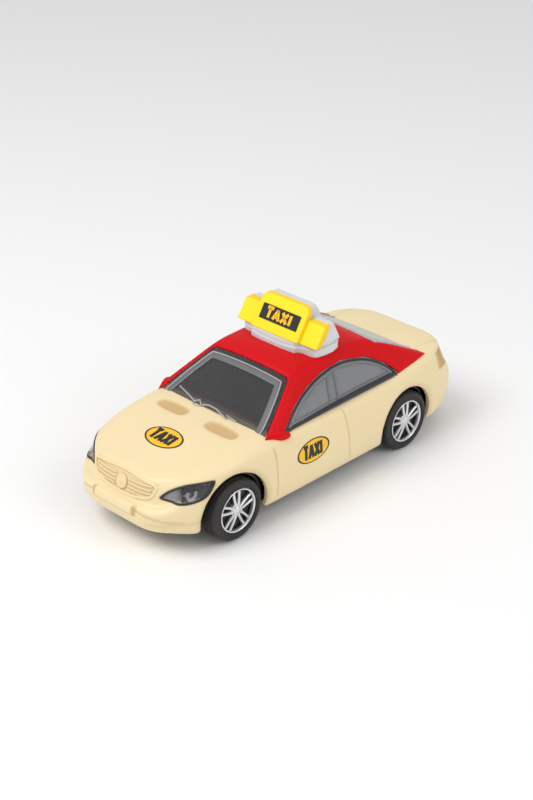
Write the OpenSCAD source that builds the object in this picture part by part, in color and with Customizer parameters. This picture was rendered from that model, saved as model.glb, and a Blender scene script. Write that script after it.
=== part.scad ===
// Friction-drive toy taxi, about 1:38.
// +X is forward, +Y is the car's left, +Z is up.
// The origin is on the ground, under the middle of the car.

/* [Body] */
// Overall length of the body
body_len = 133; // [128:1:138]
// Overall width of the body
body_wid = 54; // [53:0.5:56]
// Height of the sill above the ground
sill_z = 6.4; // [6.2:0.1:7.2]
// Thickness of the moulded shells
wall = 1.6; // [1.4:0.1:1.8]
// Height of the roof above the ground
roof_z = 41.6; // [41:0.1:42.2]

/* [Wheels] */
// Distance between the two axles
wheelbase = 76; // [75:0.5:77]
// Distance from the middle of the car to the front axle
front_x = 40.5; // [40:0.25:41]
// Outer diameter of a tyre
tyre_d = 19.7; // [19.3:0.1:20]
// Width of a tyre
tyre_w = 8; // [7:0.5:8]
// Outer diameter of a rim
rim_d = 14.6; // [14:0.2:15]
// Width over the outer faces of the tyres
track_w = 52.14; // [51.8:0.1:52.6]
// Diameter of the steel axles
axle_d = 2.4; // [2.2:0.1:2.6]

/* [Roof sign] */
// Width over the sign's wings
sign_wid = 32; // [31:0.5:33]
// Width of the tall middle part
sign_mid = 17.2; // [16:0.2:18]
// Height of the sign's top above the ground
sign_top = 54.3; // [53:0.1:55]

/* [Friction motor] */
// Module of the gears
gear_m = 0.5; // [0.5]
// Teeth on the rear axle's gear
axle_teeth = 26; // [26]
// Teeth on the lay shaft's pinion
lay_pinion_teeth = 10; // [10]
// Teeth on the lay shaft's wheel
lay_wheel_teeth = 28; // [28]
// Teeth on the flywheel's pinion
fly_teeth = 8; // [8]
// Diameter of the flywheel
fly_d = 15; // [14:0.5:15]

/* [Hidden] */

$fn = 48;

// colours
CREAM = [0.94, 0.85, 0.66];
RED = [0.86, 0.04, 0.08];
YELLOW = [1, 0.9, 0.02];
GOLD = [0.98, 0.76, 0.05];
SMOKE = [0.24, 0.23, 0.24];
BLACK = [0.12, 0.11, 0.11];
SILVER = [0.85, 0.86, 0.87];
STEEL = [0.7, 0.71, 0.73];
BRASS = [0.8, 0.66, 0.3];
CLEAR = [0.88, 0.9, 0.9, 0.5];

// places and small sizes
rear_x = front_x - wheelbase;
axle_z = tyre_d / 2;
half_len = body_len / 2;
half_wid = body_wid / 2;
gap = 0.05;          // radial clearance of a running fit
body_cols = 84;      // columns of facets around the body
front_n = 3.95;       // squareness of the front corners
rear_n = 5;          // squareness of the rear corners
spine_x = 46;        // half length of the line on which the top closes
bumper_z = [5.4, 7.5]; // underside of the front and rear bumpers
arch_r = 12.2;       // wheel arches
arch_shift = 0.5;    // arches sit this far ahead of the axles
well_r = 11.6;       // liners behind the arches
well_in = 16;        // inner wall of the liners
floor_z = 7.5;       // underside of the floor plate
floor_t = 1.3;
floor_top = floor_z + floor_t;
face_y = track_w / 2;

// ---------- curves ----------

function ease(a, b, x) = let (t = min(1, max(0, (x - a) / (b - a)))) t * t * (3 - 2 * t);

function soft_min(a, b, k) =
    let (h = min(1, max(0, 0.5 + 0.5 * (b - a) / k))) b + (a - b) * h - k * h * (1 - h);

// Height of the bonnet, belt line and boot lid
function deck_z(x, y) = 28.3 + 1.3 * ease(0, -45, x) - 2.6 * pow(max(0, -48 - x) / 20, 2)
    - 6.9 * pow(max(0, x - 24) / 44, 2) - (1 + 0.6 * ease(20, -50, x)) * pow(y / half_wid, 2);

// Height of the cabin's outer skin, dropped by d below it
function cab_z(x, y, d) = let (
    roof = roof_z - 0.0024 * pow(x + 9, 2) - 0.0042 * y * y - d,
    screen = 27.6 + (28.6 - 0.0045 * y * y - x) * 0.61 - d * 1.15,
    back = 28.8 + (x + 48.6 - 0.003 * y * y) * 0.5 - d * 1.1,
    side = 28.2 + (24.2 - 1.6 * ease(-25, -50, x) - abs(y)) * 1.5 - d * 1.8)
    soft_min(soft_min(soft_min(screen, roof, 2), back, 2), side, 1.6);

// Sections of the body: [inset from the widest outline, share of the height]
SIDE = [[1.3, 0], [0.7, 0.06], [0.25, 0.18], [0, 0.36], [0, 0.5], [0.15, 0.62],
    [0.5, 0.74], [1.1, 0.84], [1.9, 0.91], [3, 0.955], [4.4, 0.985], [6.5, 1]];
FRONT = [[7.4, 0], [4.4, 0.05], [2.2, 0.13], [0.6, 0.27], [0, 0.45], [0.15, 0.55],
    [1.3, 0.595], [3, 0.625], [3.9, 0.8], [4.9, 0.93], [6, 0.985], [8.4, 1]];
REAR = [[3.4, 0], [1.4, 0.05], [0.5, 0.13], [0, 0.25], [0, 0.4], [0.3, 0.5],
    [1.2, 0.55], [2, 0.6], [3.2, 0.8], [3.9, 0.93], [5.4, 0.985], [8, 1]];
rows = len(SIDE);
top_steps = [0.33, 0.66, 0.88];  // rows between the shoulder and the spine

// Widest outline at angle th, grown inwards by w: [x, y, slope of its normal along x]
function outline(th, w) = let (
    n = cos(th) > 0 ? front_n : rear_n,
    a = half_len - w, b = half_wid - w,
    x = a * sign(cos(th)) * pow(abs(cos(th)), 2 / n),
    y = b * sign(sin(th)) * pow(abs(sin(th)), 2 / n),
    gx = sign(x) * pow(abs(x / a), n - 1) / a,
    gy = sign(y) * pow(abs(y / b), n - 1) / b)
    [x, y, gx / norm([gx, gy])];

// Shares of the front, rear and side sections where the normal's slope is nx
function shares(nx) = let (f = ease(0.25, 0.85, nx), r = ease(0.25, 0.85, -nx)) [f, r, 1 - f - r];

// A point of the body: inset and height share are blended from the three sections,
// and above the shoulder the inset runs on to the spine by the share up
function body_point(th, row, up, w) = let (
    o = outline(th, w), s = shares(o[2]),
    p = s[0] * FRONT[row] + s[1] * REAR[row] + s[2] * SIDE[row],
    sx = o[0] / (half_len - w) * spine_x,
    d = norm([o[0] - sx, o[1]]),
    k = (p[0] + (d - p[0]) * up) / d,
    x = o[0] + (sx - o[0]) * k, y = o[1] * (1 - k),
    low = s[0] * bumper_z[0] + s[1] * bumper_z[1] + s[2] * sill_z)
    [x, y, low + (deck_z(x, y) - w - low) * p[1]];

// Closed skin through rings of points, each ring mirror-symmetric about the X axis
module skin(rings) {
    n = len(rings[0]);
    top = (len(rings) - 1) * n;
    sides = [for (i = [0:len(rings) - 2], j = [0:n - 1]) let (
        a = i * n + j, b = i * n + (j + 1) % n) each [[a, a + n, b + n], [a, b + n, b]]];
    caps = [for (j = [0:n / 2 - 1]) let (a = j, b = j + 1, c = n - j - 1, d = (n - j) % n) each [
        if (a != d) [a, c, d], if (b != c) [a, b, c],
        if (a != d) [top + a, top + d, top + c], if (b != c) [top + a, top + c, top + b]]];
    polyhedron(points = [for (r = rings) each r], faces = concat(sides, caps));
}

// The body's outside, or its inside when w is the wall; drop carries the foot down
module body_block(w = 0, drop = 0) {
    th = [for (j = [0:body_cols - 1]) 360 * j / body_cols];
    foot = [for (a = th) body_point(a, 0, 0, w)];
    skin(concat(
        drop > 0 ? [[for (p = foot) [p[0], p[1], p[2] - drop]]] : [],
        [for (r = [0:rows - 1]) [for (a = th) body_point(a, r, 0, w)]],
        [for (u = top_steps) [for (a = th) body_point(a, rows - 1, u, w)]]));
}

// Sheet of the cabin between two depths under its outer skin
module cab_sheet(d_out, d_in) {
    xs = [for (i = [0:38]) -55 + i * 2.3];
    ys = [for (j = [-13:13]) j * 2.05];
    ny = len(ys);
    nt = len(xs) * ny;
    pts = [for (d = [d_out, d_in], x = xs, y = ys) [x, y, cab_z(x, y, d)]];
    sheet = [for (i = [0:len(xs) - 2], j = [0:ny - 2]) let (a = i * ny + j) each [
        [a, a + 1, a + ny + 1], [a, a + ny + 1, a + ny],
        [nt + a, nt + a + ny + 1, nt + a + 1], [nt + a, nt + a + ny, nt + a + ny + 1]]];
    rim = concat([for (i = [0:len(xs) - 1]) i * ny],
        [for (j = [1:ny - 1]) nt - ny + j],
        [for (i = [len(xs) - 2:-1:0]) i * ny + ny - 1],
        [for (j = [ny - 2:-1:1]) j]);
    nr = len(rim);
    edge = [for (k = [0:nr - 1]) let (a = rim[k], b = rim[(k + 1) % nr]) each [
        [a, b, b + nt], [a, b + nt, a + nt]]];
    polyhedron(points = pts, faces = concat(sheet, edge));
}

// ---------- outlines ----------

function both_sides(half) = concat(half, [for (i = [len(half) - 1:-1:0]) [half[i][0], -half[i][1]]]);

// Cabin's footprint on the belt line
CAB_FOOT = both_sides([[31, 21], [28, 22.9], [24, 24.1], [8, 24.4], [-18, 24.4], [-32, 23.9],
    [-42, 22.9], [-49.4, 21.6], [-49.6, 15]]);
// Hole through the deck below the cabin
CAB_HOLE = both_sides([[23, 15], [19, 19.5], [-36, 19.5], [-41, 16]]);
// Windscreen, seen from above
SCREEN = both_sides([[32, 22.9], [26.4, 22.8], [18, 19.6], [10.2, 16.2], [9, 14.8]]);
// Rear window, seen from above
BACK = both_sides([[-27, 15.6], [-28, 17.2], [-47.2, 18.2], [-53, 18]]);
// Side window, seen from the left: [x, z]
SIDE_GLASS = [[20.4, 25], [19.6, 27.9], [12, 32.4], [5, 35.2], [-3, 37], [-12, 37.6], [-22, 35.7],
    [-28.6, 32], [-32.4, 28.4], [-33, 25]];
// Headlamp, seen along the line that bisects forwards and sideways: [across, z]
LAMP = [[-32.7, 18.3], [-30.6, 20.5], [-27.6, 22], [-24, 22.8], [-16.9, 22.4], [-18.6, 18.9],
    [-21, 17.2], [-25, 16.9]];

module upright(points) linear_extrude(80) polygon(points);

module side_prism(side) translate([0, side * 10, 0]) mirror([0, side < 0 ? 1 : 0, 0])
    rotate([90, 0, 180]) linear_extrude(20) polygon([for (p = SIDE_GLASS) [-p[0], p[1]]]);

// Prism along the direction halfway between +X and the side
module lamp_prism(side) mirror([0, side < 0 ? 1 : 0, 0]) rotate([0, 0, 45]) translate([25, 0, 0])
    rotate([90, 0, 90]) linear_extrude(50) polygon(LAMP);

// One mesh of everything inside
module as_mesh() resize([0, 0, 0]) children();

// The left-hand shape and its mirror image
module both_hands() for (side = [1, -1]) mirror([0, side < 0 ? 1 : 0, 0]) children();

// ---------- body ----------

boss_front = [53.5, 11];
boss_rear = [-55, 12];
vent_x = 32.6;
vent_y = 10.4;

module body_boss(p) translate([p[0], p[1], floor_top]) difference() {
    cylinder(r = 2.6, h = deck_z(p[0], p[1]) - floor_top - 0.6, $fn = 24);
    translate([0, 0, -1]) cylinder(r = 0.9, h = 9, $fn = 24);
}

module body_shell() color(CREAM) as_mesh() {
    difference() {
        body_block();
        body_block(w = wall, drop = 8);
        upright(CAB_HOLE);
        both_hands() {
            for (x = [front_x, rear_x]) translate([x + arch_shift, 19, axle_z]) rotate([-90, 0, 0])
                cylinder(r = arch_r, h = 12, $fn = 72);
            lamp_prism(1);
            translate([vent_x, vent_y, deck_z(vent_x, vent_y) - 0.5]) linear_extrude(3)
                polygon([[-2, 4.2], [-0.6, 5.2], [2, 4.4], [2, -4.2], [-0.4, -5.2], [-2, -3.6]]);
        }
    }
    both_hands() {
        body_boss(boss_front);
        body_boss(boss_rear);
    }
}

// Door mirror: a rounded housing drawn forward into a foot on the pillar
mirror_at = [20.8, 25.1, 26.9];
mirror_foot = [25.6, 23.2, 28];

module door_mirror() difference() {
    hull() {
        translate(mirror_at) rotate([0, -10, -12]) scale([2.7, 1.5, 1.6]) sphere(r = 1, $fn = 20);
        translate(mirror_foot) sphere(r = 0.8, $fn = 12);
    }
    body_block();
    intersection() {
        upright(CAB_FOOT);
        side_prism(1);
    }
}

module roof_shell() color(RED) as_mesh() {
    difference() {
        intersection() {
            cab_sheet(0, wall);
            upright(CAB_FOOT);
        }
        body_block();
        upright(SCREEN);
        upright(BACK);
        both_hands() side_prism(1);
    }
    // skirt that plugs into the deck, open ahead where the screen stands
    difference() {
        translate([0, 0, 25.4]) linear_extrude(2.9) offset(delta = -0.1) polygon(CAB_HOLE);
        translate([0, 0, 20]) linear_extrude(20) offset(delta = -1.2) polygon(CAB_HOLE);
        upright([[30, 30], [17, 30], [17, -30], [30, -30]]);
    }
    // lip that ties the skirt to the pillars, inside the panes
    intersection() {
        cab_sheet(glass_in, 14);
        difference() {
            translate([0, 0, 25]) linear_extrude(4.6) offset(delta = -1.3) polygon(CAB_FOOT);
            translate([0, 0, 20]) linear_extrude(20) offset(delta = -1.1) polygon(CAB_HOLE);
            body_block();
            upright([[40, 30], [20, 30], [20, -30], [40, -30]]);
            upright([[-60, 30], [-44, 30], [-44, -30], [-60, -30]]);
        }
        difference() {
            body_block(w = -0.9);
            upright(BACK);
        }
    }
    both_hands() door_mirror();
}

// ---------- glazing ----------

glass_out = 0.35;
glass_in = 1.5;

module pane() as_mesh() difference() {
    intersection() {
        cab_sheet(glass_out, glass_in);
        upright(CAB_FOOT);
        children();
    }
    body_block();
}

module windscreen() color(SMOKE) pane() upright(SCREEN);
module rear_window() color(SMOKE) pane() upright(BACK);
module side_window_left() color(SMOKE) pane() side_prism(1);
module side_window_right() color(SMOKE) pane() side_prism(-1);

// ---------- interior ----------

tub_z = 22.6;
tub_t = 1.2;

module seat(x, y, w, back_h) translate([x, y, tub_z + tub_t]) {
    translate([0, -w / 2, 0]) cube([9, w, 3.4]);
    translate([-2.6, -w / 2, 0]) rotate([0, -12, 0]) cube([2.8, w, back_h]);
}

module interior() color(SMOKE) {
    translate([-38, -17.6, tub_z]) cube([56, 35.2, tub_t]);
    both_hands() seat(-3, 8.8, 12.4, 9.5);
    seat(-26, 0, 32, 8.6);
    // dashboard
    translate([12, -17.6, tub_z]) cube([6, 35.2, 4.8]);
    // steering wheel and column
    translate([9.8, 8.8, tub_z + 6.2]) rotate([0, -62, 0]) {
        rotate_extrude() translate([3.2, 0]) circle(r = 0.5, $fn = 16);
        translate([0, 0, -5]) cylinder(r = 0.7, h = 5.2, $fn = 24);
        translate([-0.5, -3.2, -0.4]) cube([1, 6.4, 0.8]);
    }
    // feet on the floor plate, clear of the ribs, the rear axle and the liners
    both_hands() for (x = [15.6, -26]) translate([x, 13.4, floor_top])
        cylinder(r = 1.8, h = tub_z - floor_top + 0.4, $fn = 24);
}

// ---------- headlamps ----------

module lamp_layer(side, w_out, w_in) as_mesh() intersection() {
    difference() {
        body_block(w = w_out);
        body_block(w = w_in);
    }
    lamp_prism(side);
}

module headlamp_lens_left() color(SMOKE) lamp_layer(1, 0, 0.9);
module headlamp_lens_right() color(SMOKE) lamp_layer(-1, 0, 0.9);
module headlamp_bowl_left() color(SILVER) lamp_layer(1, 0.9, 2.1);
module headlamp_bowl_right() color(SILVER) lamp_layer(-1, 0.9, 2.1);

// ---------- roof sign ----------

sign_foot = 44.2;       // top of the base plate
sign_wing_top = 50.8;
face_t = 1;
MID_WEDGE = [-0.8, -7, -10.4, -14.4];    // x of the foot's front, top's front, top's back, foot's back
WING_WEDGE = [-2.8, -7.2, -10.2, -13.4];

// Wedge with a leaning front and back and round top corners, shrunk by cut on every side
module sign_wedge(w, top, wid, r, cut) intersection() {
    translate([0, wid / 2 - cut, 0]) rotate([90, 0, 0]) linear_extrude(wid - 2 * cut) polygon([
        [w[0] - 1.2 * cut, sign_foot - cut], [w[1] - 1.2 * cut, top - cut],
        [w[2] + 1.1 * cut, top - cut], [w[3] + 1.1 * cut, sign_foot - cut]]);
    translate([-30, 0, 0]) rotate([90, 0, 90]) linear_extrude(40) {
        translate([-wid / 2, 40]) square([wid, top - 40 - r]);
        translate([r - wid / 2, 40]) square([wid - 2 * r, top - 40]);
        for (side = [-1, 1]) translate([side * (wid / 2 - r), top - r]) circle(r = r);
    }
}

module sign_block(cut = 0) {
    sign_wedge(MID_WEDGE, sign_top, sign_mid, 2.6, cut);
    sign_wedge(WING_WEDGE, sign_wing_top, sign_wid, 1, cut);
}

// Outline of the base plate, grown by g: a step ahead of the middle part
module sign_foot_outline(g) polygon(both_sides([[0.2 + g, 8.4 + g], [-2.2 + g, 9.6 + g],
    [-2.2 + g, 15.2 + g], [-3.8, 16.1 + g], [-12.4, 16.1 + g], [-15.2 - g, 13.6 + g]]));

module sign_base() color(CLEAR) as_mesh() difference() {
    union() {
        translate([0, 0, 36]) linear_extrude(sign_foot - 36) sign_foot_outline(0);
        translate([0, 0, 36]) linear_extrude(sign_foot - 37.2) sign_foot_outline(0.5);
    }
    cab_sheet(0, 14);
}

module sign_housing() color(CLEAR) difference() {
    intersection() {
        sign_block();
        translate([-face_t, 0, 0]) sign_block();
    }
    translate([-face_t / 2, 0, 0]) sign_block(1.1);
}

module sign_face() color(YELLOW) difference() {
    sign_block();
    translate([-face_t, 0, 0]) sign_block();
}

module sign_label() color(BLACK) {
    lean = atan2(MID_WEDGE[0] - MID_WEDGE[1], sign_top - sign_foot);
    translate([MID_WEDGE[0], 0, sign_foot]) rotate([0, -lean, 0])
        translate([0, -7.85, 3.4]) cube([0.2, 15.7, 4.9]);
}

// ---------- labels ----------

label_t = 0.12;

module label_layer() as_mesh() intersection() {
    difference() {
        body_block(w = -label_t);
        body_block();
    }
    children();
}

module door_oval(side) translate([9.8, side * 20, 18.2]) rotate([-90 * side, 0, 0])
    scale([1, 4.3 / 7, 1]) cylinder(r = 7, h = 12, $fn = 48);

module bonnet_label() color(GOLD) label_layer() translate([45.8, 0, 18]) scale([4.2 / 7.3, 1, 1])
    cylinder(r = 7.3, h = 20, $fn = 48);
module door_label_left() color(GOLD) label_layer() door_oval(1);
module door_label_right() color(GOLD) label_layer() door_oval(-1);

// ---------- chassis ----------

motor_front = -8.6;
motor_rear = -45.2;
motor_y = [-9.2, 8.2];    // the motor's side faces, with room to lift it out
pad_x = 13;               // pad under the floor
pad_size = [34, 24];
pad_t = 0.6;

// Floor outline: the body's inner outline, a little smaller
function floor_point(th) = let (
    o = outline(th, wall + 0.2), s = shares(o[2]),
    d = norm([o[0] * (1 - spine_x / half_len), o[1]]),
    k = (s[0] * 2.6 + s[1] * 1.5 + s[2] * 1.3) / d)
    [o[0] - o[0] * (1 - spine_x / (half_len - wall)) * k, o[1] * (1 - k)];

module floor_outline() polygon([for (j = [0:59]) floor_point(6 * j)]);

module wheel_well(x) translate([x, 0, axle_z]) rotate([-90, 0, 0]) {
    difference() {
        translate([0, 0, well_in]) cylinder(r = well_r, h = 8);
        translate([0, 0, well_in + 0.8]) cylinder(r = well_r - 0.8, h = 10);
        translate([0, 0, well_in - 1]) cylinder(r = 2.4, h = 4);
        translate([-20, axle_z - floor_z, 0]) cube([40, 20, 30]);
    }
}

module chassis() color(BLACK) difference() {
    union() {
        difference() {
            translate([0, 0, floor_z]) linear_extrude(floor_t) floor_outline();
            both_hands() for (x = [front_x, rear_x])
                translate([x - well_r, well_in, 0]) cube([2 * well_r, 20, 20]);
        }
        intersection() {
            both_hands() {
                wheel_well(front_x);
                wheel_well(rear_x);
            }
            linear_extrude(40) floor_outline();
        }
        // front axle bearings
        both_hands() translate([front_x - 2.6, 11, floor_z]) cube([5.2, 4, 6]);
        // stiffening ribs under the cabin
        for (x = [0, 12]) translate([x, -20, floor_top]) cube([1.2, 40, 1.6]);
        // flat pad under the cabin, on which the car can be fixed to a stand
        translate([pad_x, 0, floor_z - pad_t]) linear_extrude(pad_t + 0.2)
            offset(r = 2, $fn = 32) square([pad_size[0] - 4, pad_size[1] - 4], center = true);
    }
    translate([front_x, -20, axle_z]) rotate([-90, 0, 0]) cylinder(r = axle_d / 2 + gap, h = 40);
    // slot under the front axle, so that the axle can be seen
    translate([front_x - 1.8, -10, 0]) cube([3.6, 20, 12]);
    // opening for the motor
    translate([motor_rear, motor_y[0], 0]) cube([motor_front - motor_rear, motor_y[1] - motor_y[0], 20]);
    // clearance round the rear axle
    translate([rear_x - 2.4, -18, 0]) cube([4.8, 36, 12]);
    both_hands() {
        for (p = [boss_front, boss_rear]) translate([p[0], p[1], 0]) cylinder(r = 1.1, h = 20, $fn = 24);
    }
    for (x = motor_screw_x, y = motor_screw_y) translate([x, y, 0]) cylinder(r = 0.8, h = 20, $fn = 24);
}

// ---------- wheels ----------

// Wheel parts are drawn with the axle along +Z and the outer face up at z = 0
module at_wheel(x, side) translate([x, side * face_y, axle_z]) rotate([-90 * side, 0, 0]) children();

module tyre() color(BLACK) rotate_extrude($fn = 64) polygon([
    [rim_d / 2, -tyre_w], [tyre_d / 2 - 1.1, -tyre_w], [tyre_d / 2 - 0.2, -tyre_w + 0.9],
    [tyre_d / 2, -tyre_w + 1.8], [tyre_d / 2, -1.8], [tyre_d / 2 - 0.2, -0.9],
    [tyre_d / 2 - 1.1, 0], [rim_d / 2 + 0.8, 0], [rim_d / 2, -0.5]]);

core_in = -7.4;
core_face = -2.2;

module wheel_core() color(BLACK) difference() {
    union() {
        translate([0, 0, core_face - 1.6]) cylinder(r = rim_d / 2, h = 1.6);
        translate([0, 0, core_in]) cylinder(r = 3, h = core_face - core_in);
        translate([0, 0, core_in + 0.6]) difference() {
            cylinder(r = rim_d / 2, h = core_face - core_in - 0.6);
            translate([0, 0, -1]) cylinder(r = rim_d / 2 - 0.8, h = 10);
        }
    }
    translate([0, 0, core_in - 1]) cylinder(r = axle_d / 2, h = 12);
}

module rim_cap() color(SILVER) {
    difference() {
        translate([0, 0, core_face]) cylinder(r = rim_d / 2, h = 1.9);
        translate([0, 0, core_face - 1]) cylinder(r = rim_d / 2 - 0.9, h = 4);
    }
    difference() {
        union() {
            translate([0, 0, core_face]) cylinder(r = 2.3, h = 1.7);
            // five pairs of spokes
            for (a = [0:4], side = [-1, 1]) rotate([0, 0, 72 * a + 90 + 9 * side])
                translate([1.9, -0.45 + 0.25 * side, core_face + 0.1]) cube([rim_d / 2 - 2.4, 0.9, 1.1]);
        }
        translate([0, 0, core_face - 1]) cylinder(r = axle_d / 2, h = 1.6);
    }
}

axle_end = face_y + core_face + 0.5;
module axle(x) color(STEEL) translate([x, -axle_end, axle_z]) rotate([-90, 0, 0])
    cylinder(r = axle_d / 2, h = 2 * axle_end);
module front_axle() axle(front_x);
module rear_axle() axle(rear_x);

module tyre_front_left() at_wheel(front_x, 1) tyre();
module tyre_front_right() at_wheel(front_x, -1) tyre();
module tyre_rear_left() at_wheel(rear_x, 1) tyre();
module tyre_rear_right() at_wheel(rear_x, -1) tyre();
module wheel_core_front_left() at_wheel(front_x, 1) wheel_core();
module wheel_core_front_right() at_wheel(front_x, -1) wheel_core();
module wheel_core_rear_left() at_wheel(rear_x, 1) wheel_core();
module wheel_core_rear_right() at_wheel(rear_x, -1) wheel_core();
module rim_cap_front_left() at_wheel(front_x, 1) rim_cap();
module rim_cap_front_right() at_wheel(front_x, -1) rim_cap();
module rim_cap_rear_left() at_wheel(rear_x, 1) rim_cap();
module rim_cap_rear_right() at_wheel(rear_x, -1) rim_cap();

// ---------- friction motor ----------

pitch = function (teeth) teeth * gear_m / 2;
lay_dist = pitch(axle_teeth) + pitch(lay_pinion_teeth);
fly_dist = pitch(lay_wheel_teeth) + pitch(fly_teeth);
train_dir = 10;   // the line through the three shafts climbs at this angle
A = [rear_x, axle_z];
C = A + lay_dist * [cos(train_dir), sin(train_dir)];
F = C + fly_dist * [cos(train_dir), sin(train_dir)];
shaft_r = 0.8;
case_wall = 0.9;
case_r = [8.2, 8.7, 8.7];   // outer radius of the case round each shaft
case_y = [-9, 8];
lugs = [[-45.4, 11.6], [-9.2, 18.4]];   // bosses that hold the case halves together
motor_screw_x = [-41, -14];
motor_screw_y = [-12.4, 11.4];

// Tooth outline with involute flanks; the tooth's middle is at angle 0
function involute(a) = tan(a) * 180 / PI - a;
function gear_points(teeth, tip, play) = let (
    r = pitch(teeth), rb = r * cos(20), ra = r + tip * gear_m, rf = r - 1.25 * gear_m,
    half = 90 / teeth - play / r * 90 / PI,
    ang = function (q) half + involute(20) - involute(acos(min(1, rb / q))),
    q0 = max(rb, rf + 0.05), qs = [for (i = [0:3]) q0 + (ra - q0) * i / 3],
    foot = [rf, ang(q0) * (rb > rf ? 0.62 : 1.15)])
    [for (k = [0:teeth - 1]) let (m = 360 * k / teeth) each concat(
        [foot[0] * [cos(m - foot[1]), sin(m - foot[1])]],
        [for (q = qs) q * [cos(m - ang(q)), sin(m - ang(q))]],
        [for (i = [3:-1:0]) qs[i] * [cos(m + ang(qs[i])), sin(m + ang(qs[i]))]],
        [foot[0] * [cos(m + foot[1]), sin(m + foot[1])]])];

// A gear about a shaft at p, from y0 to y1, turned so that a tooth points at angle turn
module gear(p, teeth, y0, y1, turn, tip, play) translate([p[0], y1, p[1]]) rotate([90, 0, 0])
    linear_extrude(y1 - y0) rotate(turn) polygon(gear_points(teeth, tip, play));

// A round bar or disc about a shaft at p
module bar(p, r, y0, y1, sides = 32) translate([p[0], y0, p[1]]) rotate([-90, 0, 0])
    cylinder(r = r, h = y1 - y0, $fn = sides);

module axle_gear() color(CREAM) difference() {
    union() {
        gear(A, axle_teeth, 3, 5.5, train_dir, 0.9, 0.12);
        bar(A, 2.4, 2.8, 6.8);
    }
    bar(A, axle_d / 2, -10, 10);
}

module lay_gear() color(CREAM) difference() {
    union() {
        gear(C, lay_pinion_teeth, 2.4, 6, train_dir + 180 + 180 / lay_pinion_teeth, 0.8, 0.12);
        gear(C, lay_wheel_teeth, 0.6, 2.4, train_dir, 0.8, 0.12);
    }
    bar(C, shaft_r, -10, 10);
}

module lay_shaft() color(STEEL) bar(C, shaft_r, case_y[0] + 0.5, case_y[1] - 0.5);
module flywheel_shaft() color(STEEL) bar(F, shaft_r, case_y[0] + 0.5, case_y[1] - 0.5);

module flywheel_pinion() color(BRASS) difference() {
    gear(F, fly_teeth, 0.1, 3.2, train_dir + 180 + 180 / fly_teeth, 0.7, 0.12);
    bar(F, shaft_r, -10, 10);
}

module flywheel() color(STEEL) difference() {
    union() {
        bar(F, fly_d / 2, -7, -1.4, 64);
        bar(F, 1.6, -1.4, -0.2);
    }
    bar(F, shaft_r, -10, 10);
    bar(F, fly_d / 2 - 1.6, -8, -5.4, 64);
}

// Side view of the case, shrunk by s
module case_outline(s) {
    P = [A, C, F];
    n = [-sin(train_dir), cos(train_dir)];
    for (i = [0:2]) translate(P[i]) circle(r = case_r[i] - s, $fn = 64);
    for (i = [0:1]) polygon([P[i] + n * (case_r[i] - s), P[i + 1] + n * (case_r[i + 1] - s),
        P[i + 1] - n * (case_r[i + 1] - s), P[i] - n * (case_r[i] - s)]);
}

module case_half(y0, y1, open_y0, open_y1) difference() {
    union() {
        translate([0, y1, 0]) rotate([90, 0, 0]) linear_extrude(y1 - y0) case_outline(0);
        for (p = lugs) bar(p, 2, y0, y1);
        // feet that stand on the floor plate
        for (x = motor_screw_x) translate([x - 2.5, y0 < 0 ? motor_screw_y[0] - 2.4 : 7, floor_top])
            cube([5, y0 < 0 ? -8 - motor_screw_y[0] + 2.4 : motor_screw_y[1] - 4.6, 1.2]);
    }
    translate([0, open_y1, 0]) rotate([90, 0, 0]) linear_extrude(open_y1 - open_y0) case_outline(case_wall);
    bar(A, axle_d / 2 + gap, -20, 20);
    for (x = motor_screw_x, y = motor_screw_y) translate([x, y, 0]) cylinder(r = 1.1, h = 30, $fn = 24);
}

module motor_case_left() color(BLACK) difference() {
    case_half(0, case_y[1], -1, case_y[1] - 1.1);
    for (p = [C, F]) bar(p, shaft_r + gap, 0, case_y[1] - 0.4);
    for (p = lugs) bar(p, 1, -1, 20);
}

module motor_case_right() color(BLACK) difference() {
    case_half(case_y[0], 0, case_y[0] + 1.1, 1);
    for (p = [C, F]) bar(p, shaft_r + gap, case_y[0] + 0.4, 0);
    for (p = lugs) bar(p, 0.8, -7, 1);
}

// ---------- fasteners ----------

// Screw with its head's underside at z = 0, pointing down
module screw(r, len, head_r, head_h) {
    translate([0, 0, -len]) cylinder(r = r, h = len, $fn = 24);
    difference() {
        cylinder(r = head_r, h = head_h, $fn = 24);
        for (a = [0, 90]) rotate([0, 0, a]) translate([-head_r * 0.6, -0.2, head_h - 0.5])
            cube([head_r * 1.2, 0.4, 1]);
    }
}

module chassis_screws() color(STEEL) both_hands() for (p = [boss_front, boss_rear])
    translate([p[0], p[1], floor_z]) mirror([0, 0, 1]) screw(0.85, 8, 2, 1);

module motor_screws() color(STEEL) for (x = motor_screw_x, y = motor_screw_y)
    translate([x, y, floor_top + 1.2]) screw(0.8, 2.6, 1.7, 0.9);

module case_screws() color(STEEL) for (p = lugs)
    translate([p[0], case_y[1], p[1]]) rotate([-90, 0, 0]) screw(0.8, 14, 1.7, 0.9);

body_shell();
roof_shell();
windscreen();
rear_window();
side_window_left();
side_window_right();
interior();
headlamp_lens_left();
headlamp_lens_right();
headlamp_bowl_left();
headlamp_bowl_right();
sign_base();
sign_housing();
sign_face();
sign_label();
bonnet_label();
door_label_left();
door_label_right();
chassis();
front_axle();
rear_axle();
tyre_front_left();
tyre_front_right();
tyre_rear_left();
tyre_rear_right();
wheel_core_front_left();
wheel_core_front_right();
wheel_core_rear_left();
wheel_core_rear_right();
rim_cap_front_left();
rim_cap_front_right();
rim_cap_rear_left();
rim_cap_rear_right();
motor_case_left();
motor_case_right();
axle_gear();
lay_shaft();
lay_gear();
flywheel_shaft();
flywheel_pinion();
flywheel();
chassis_screws();
motor_screws();
case_screws();
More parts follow.
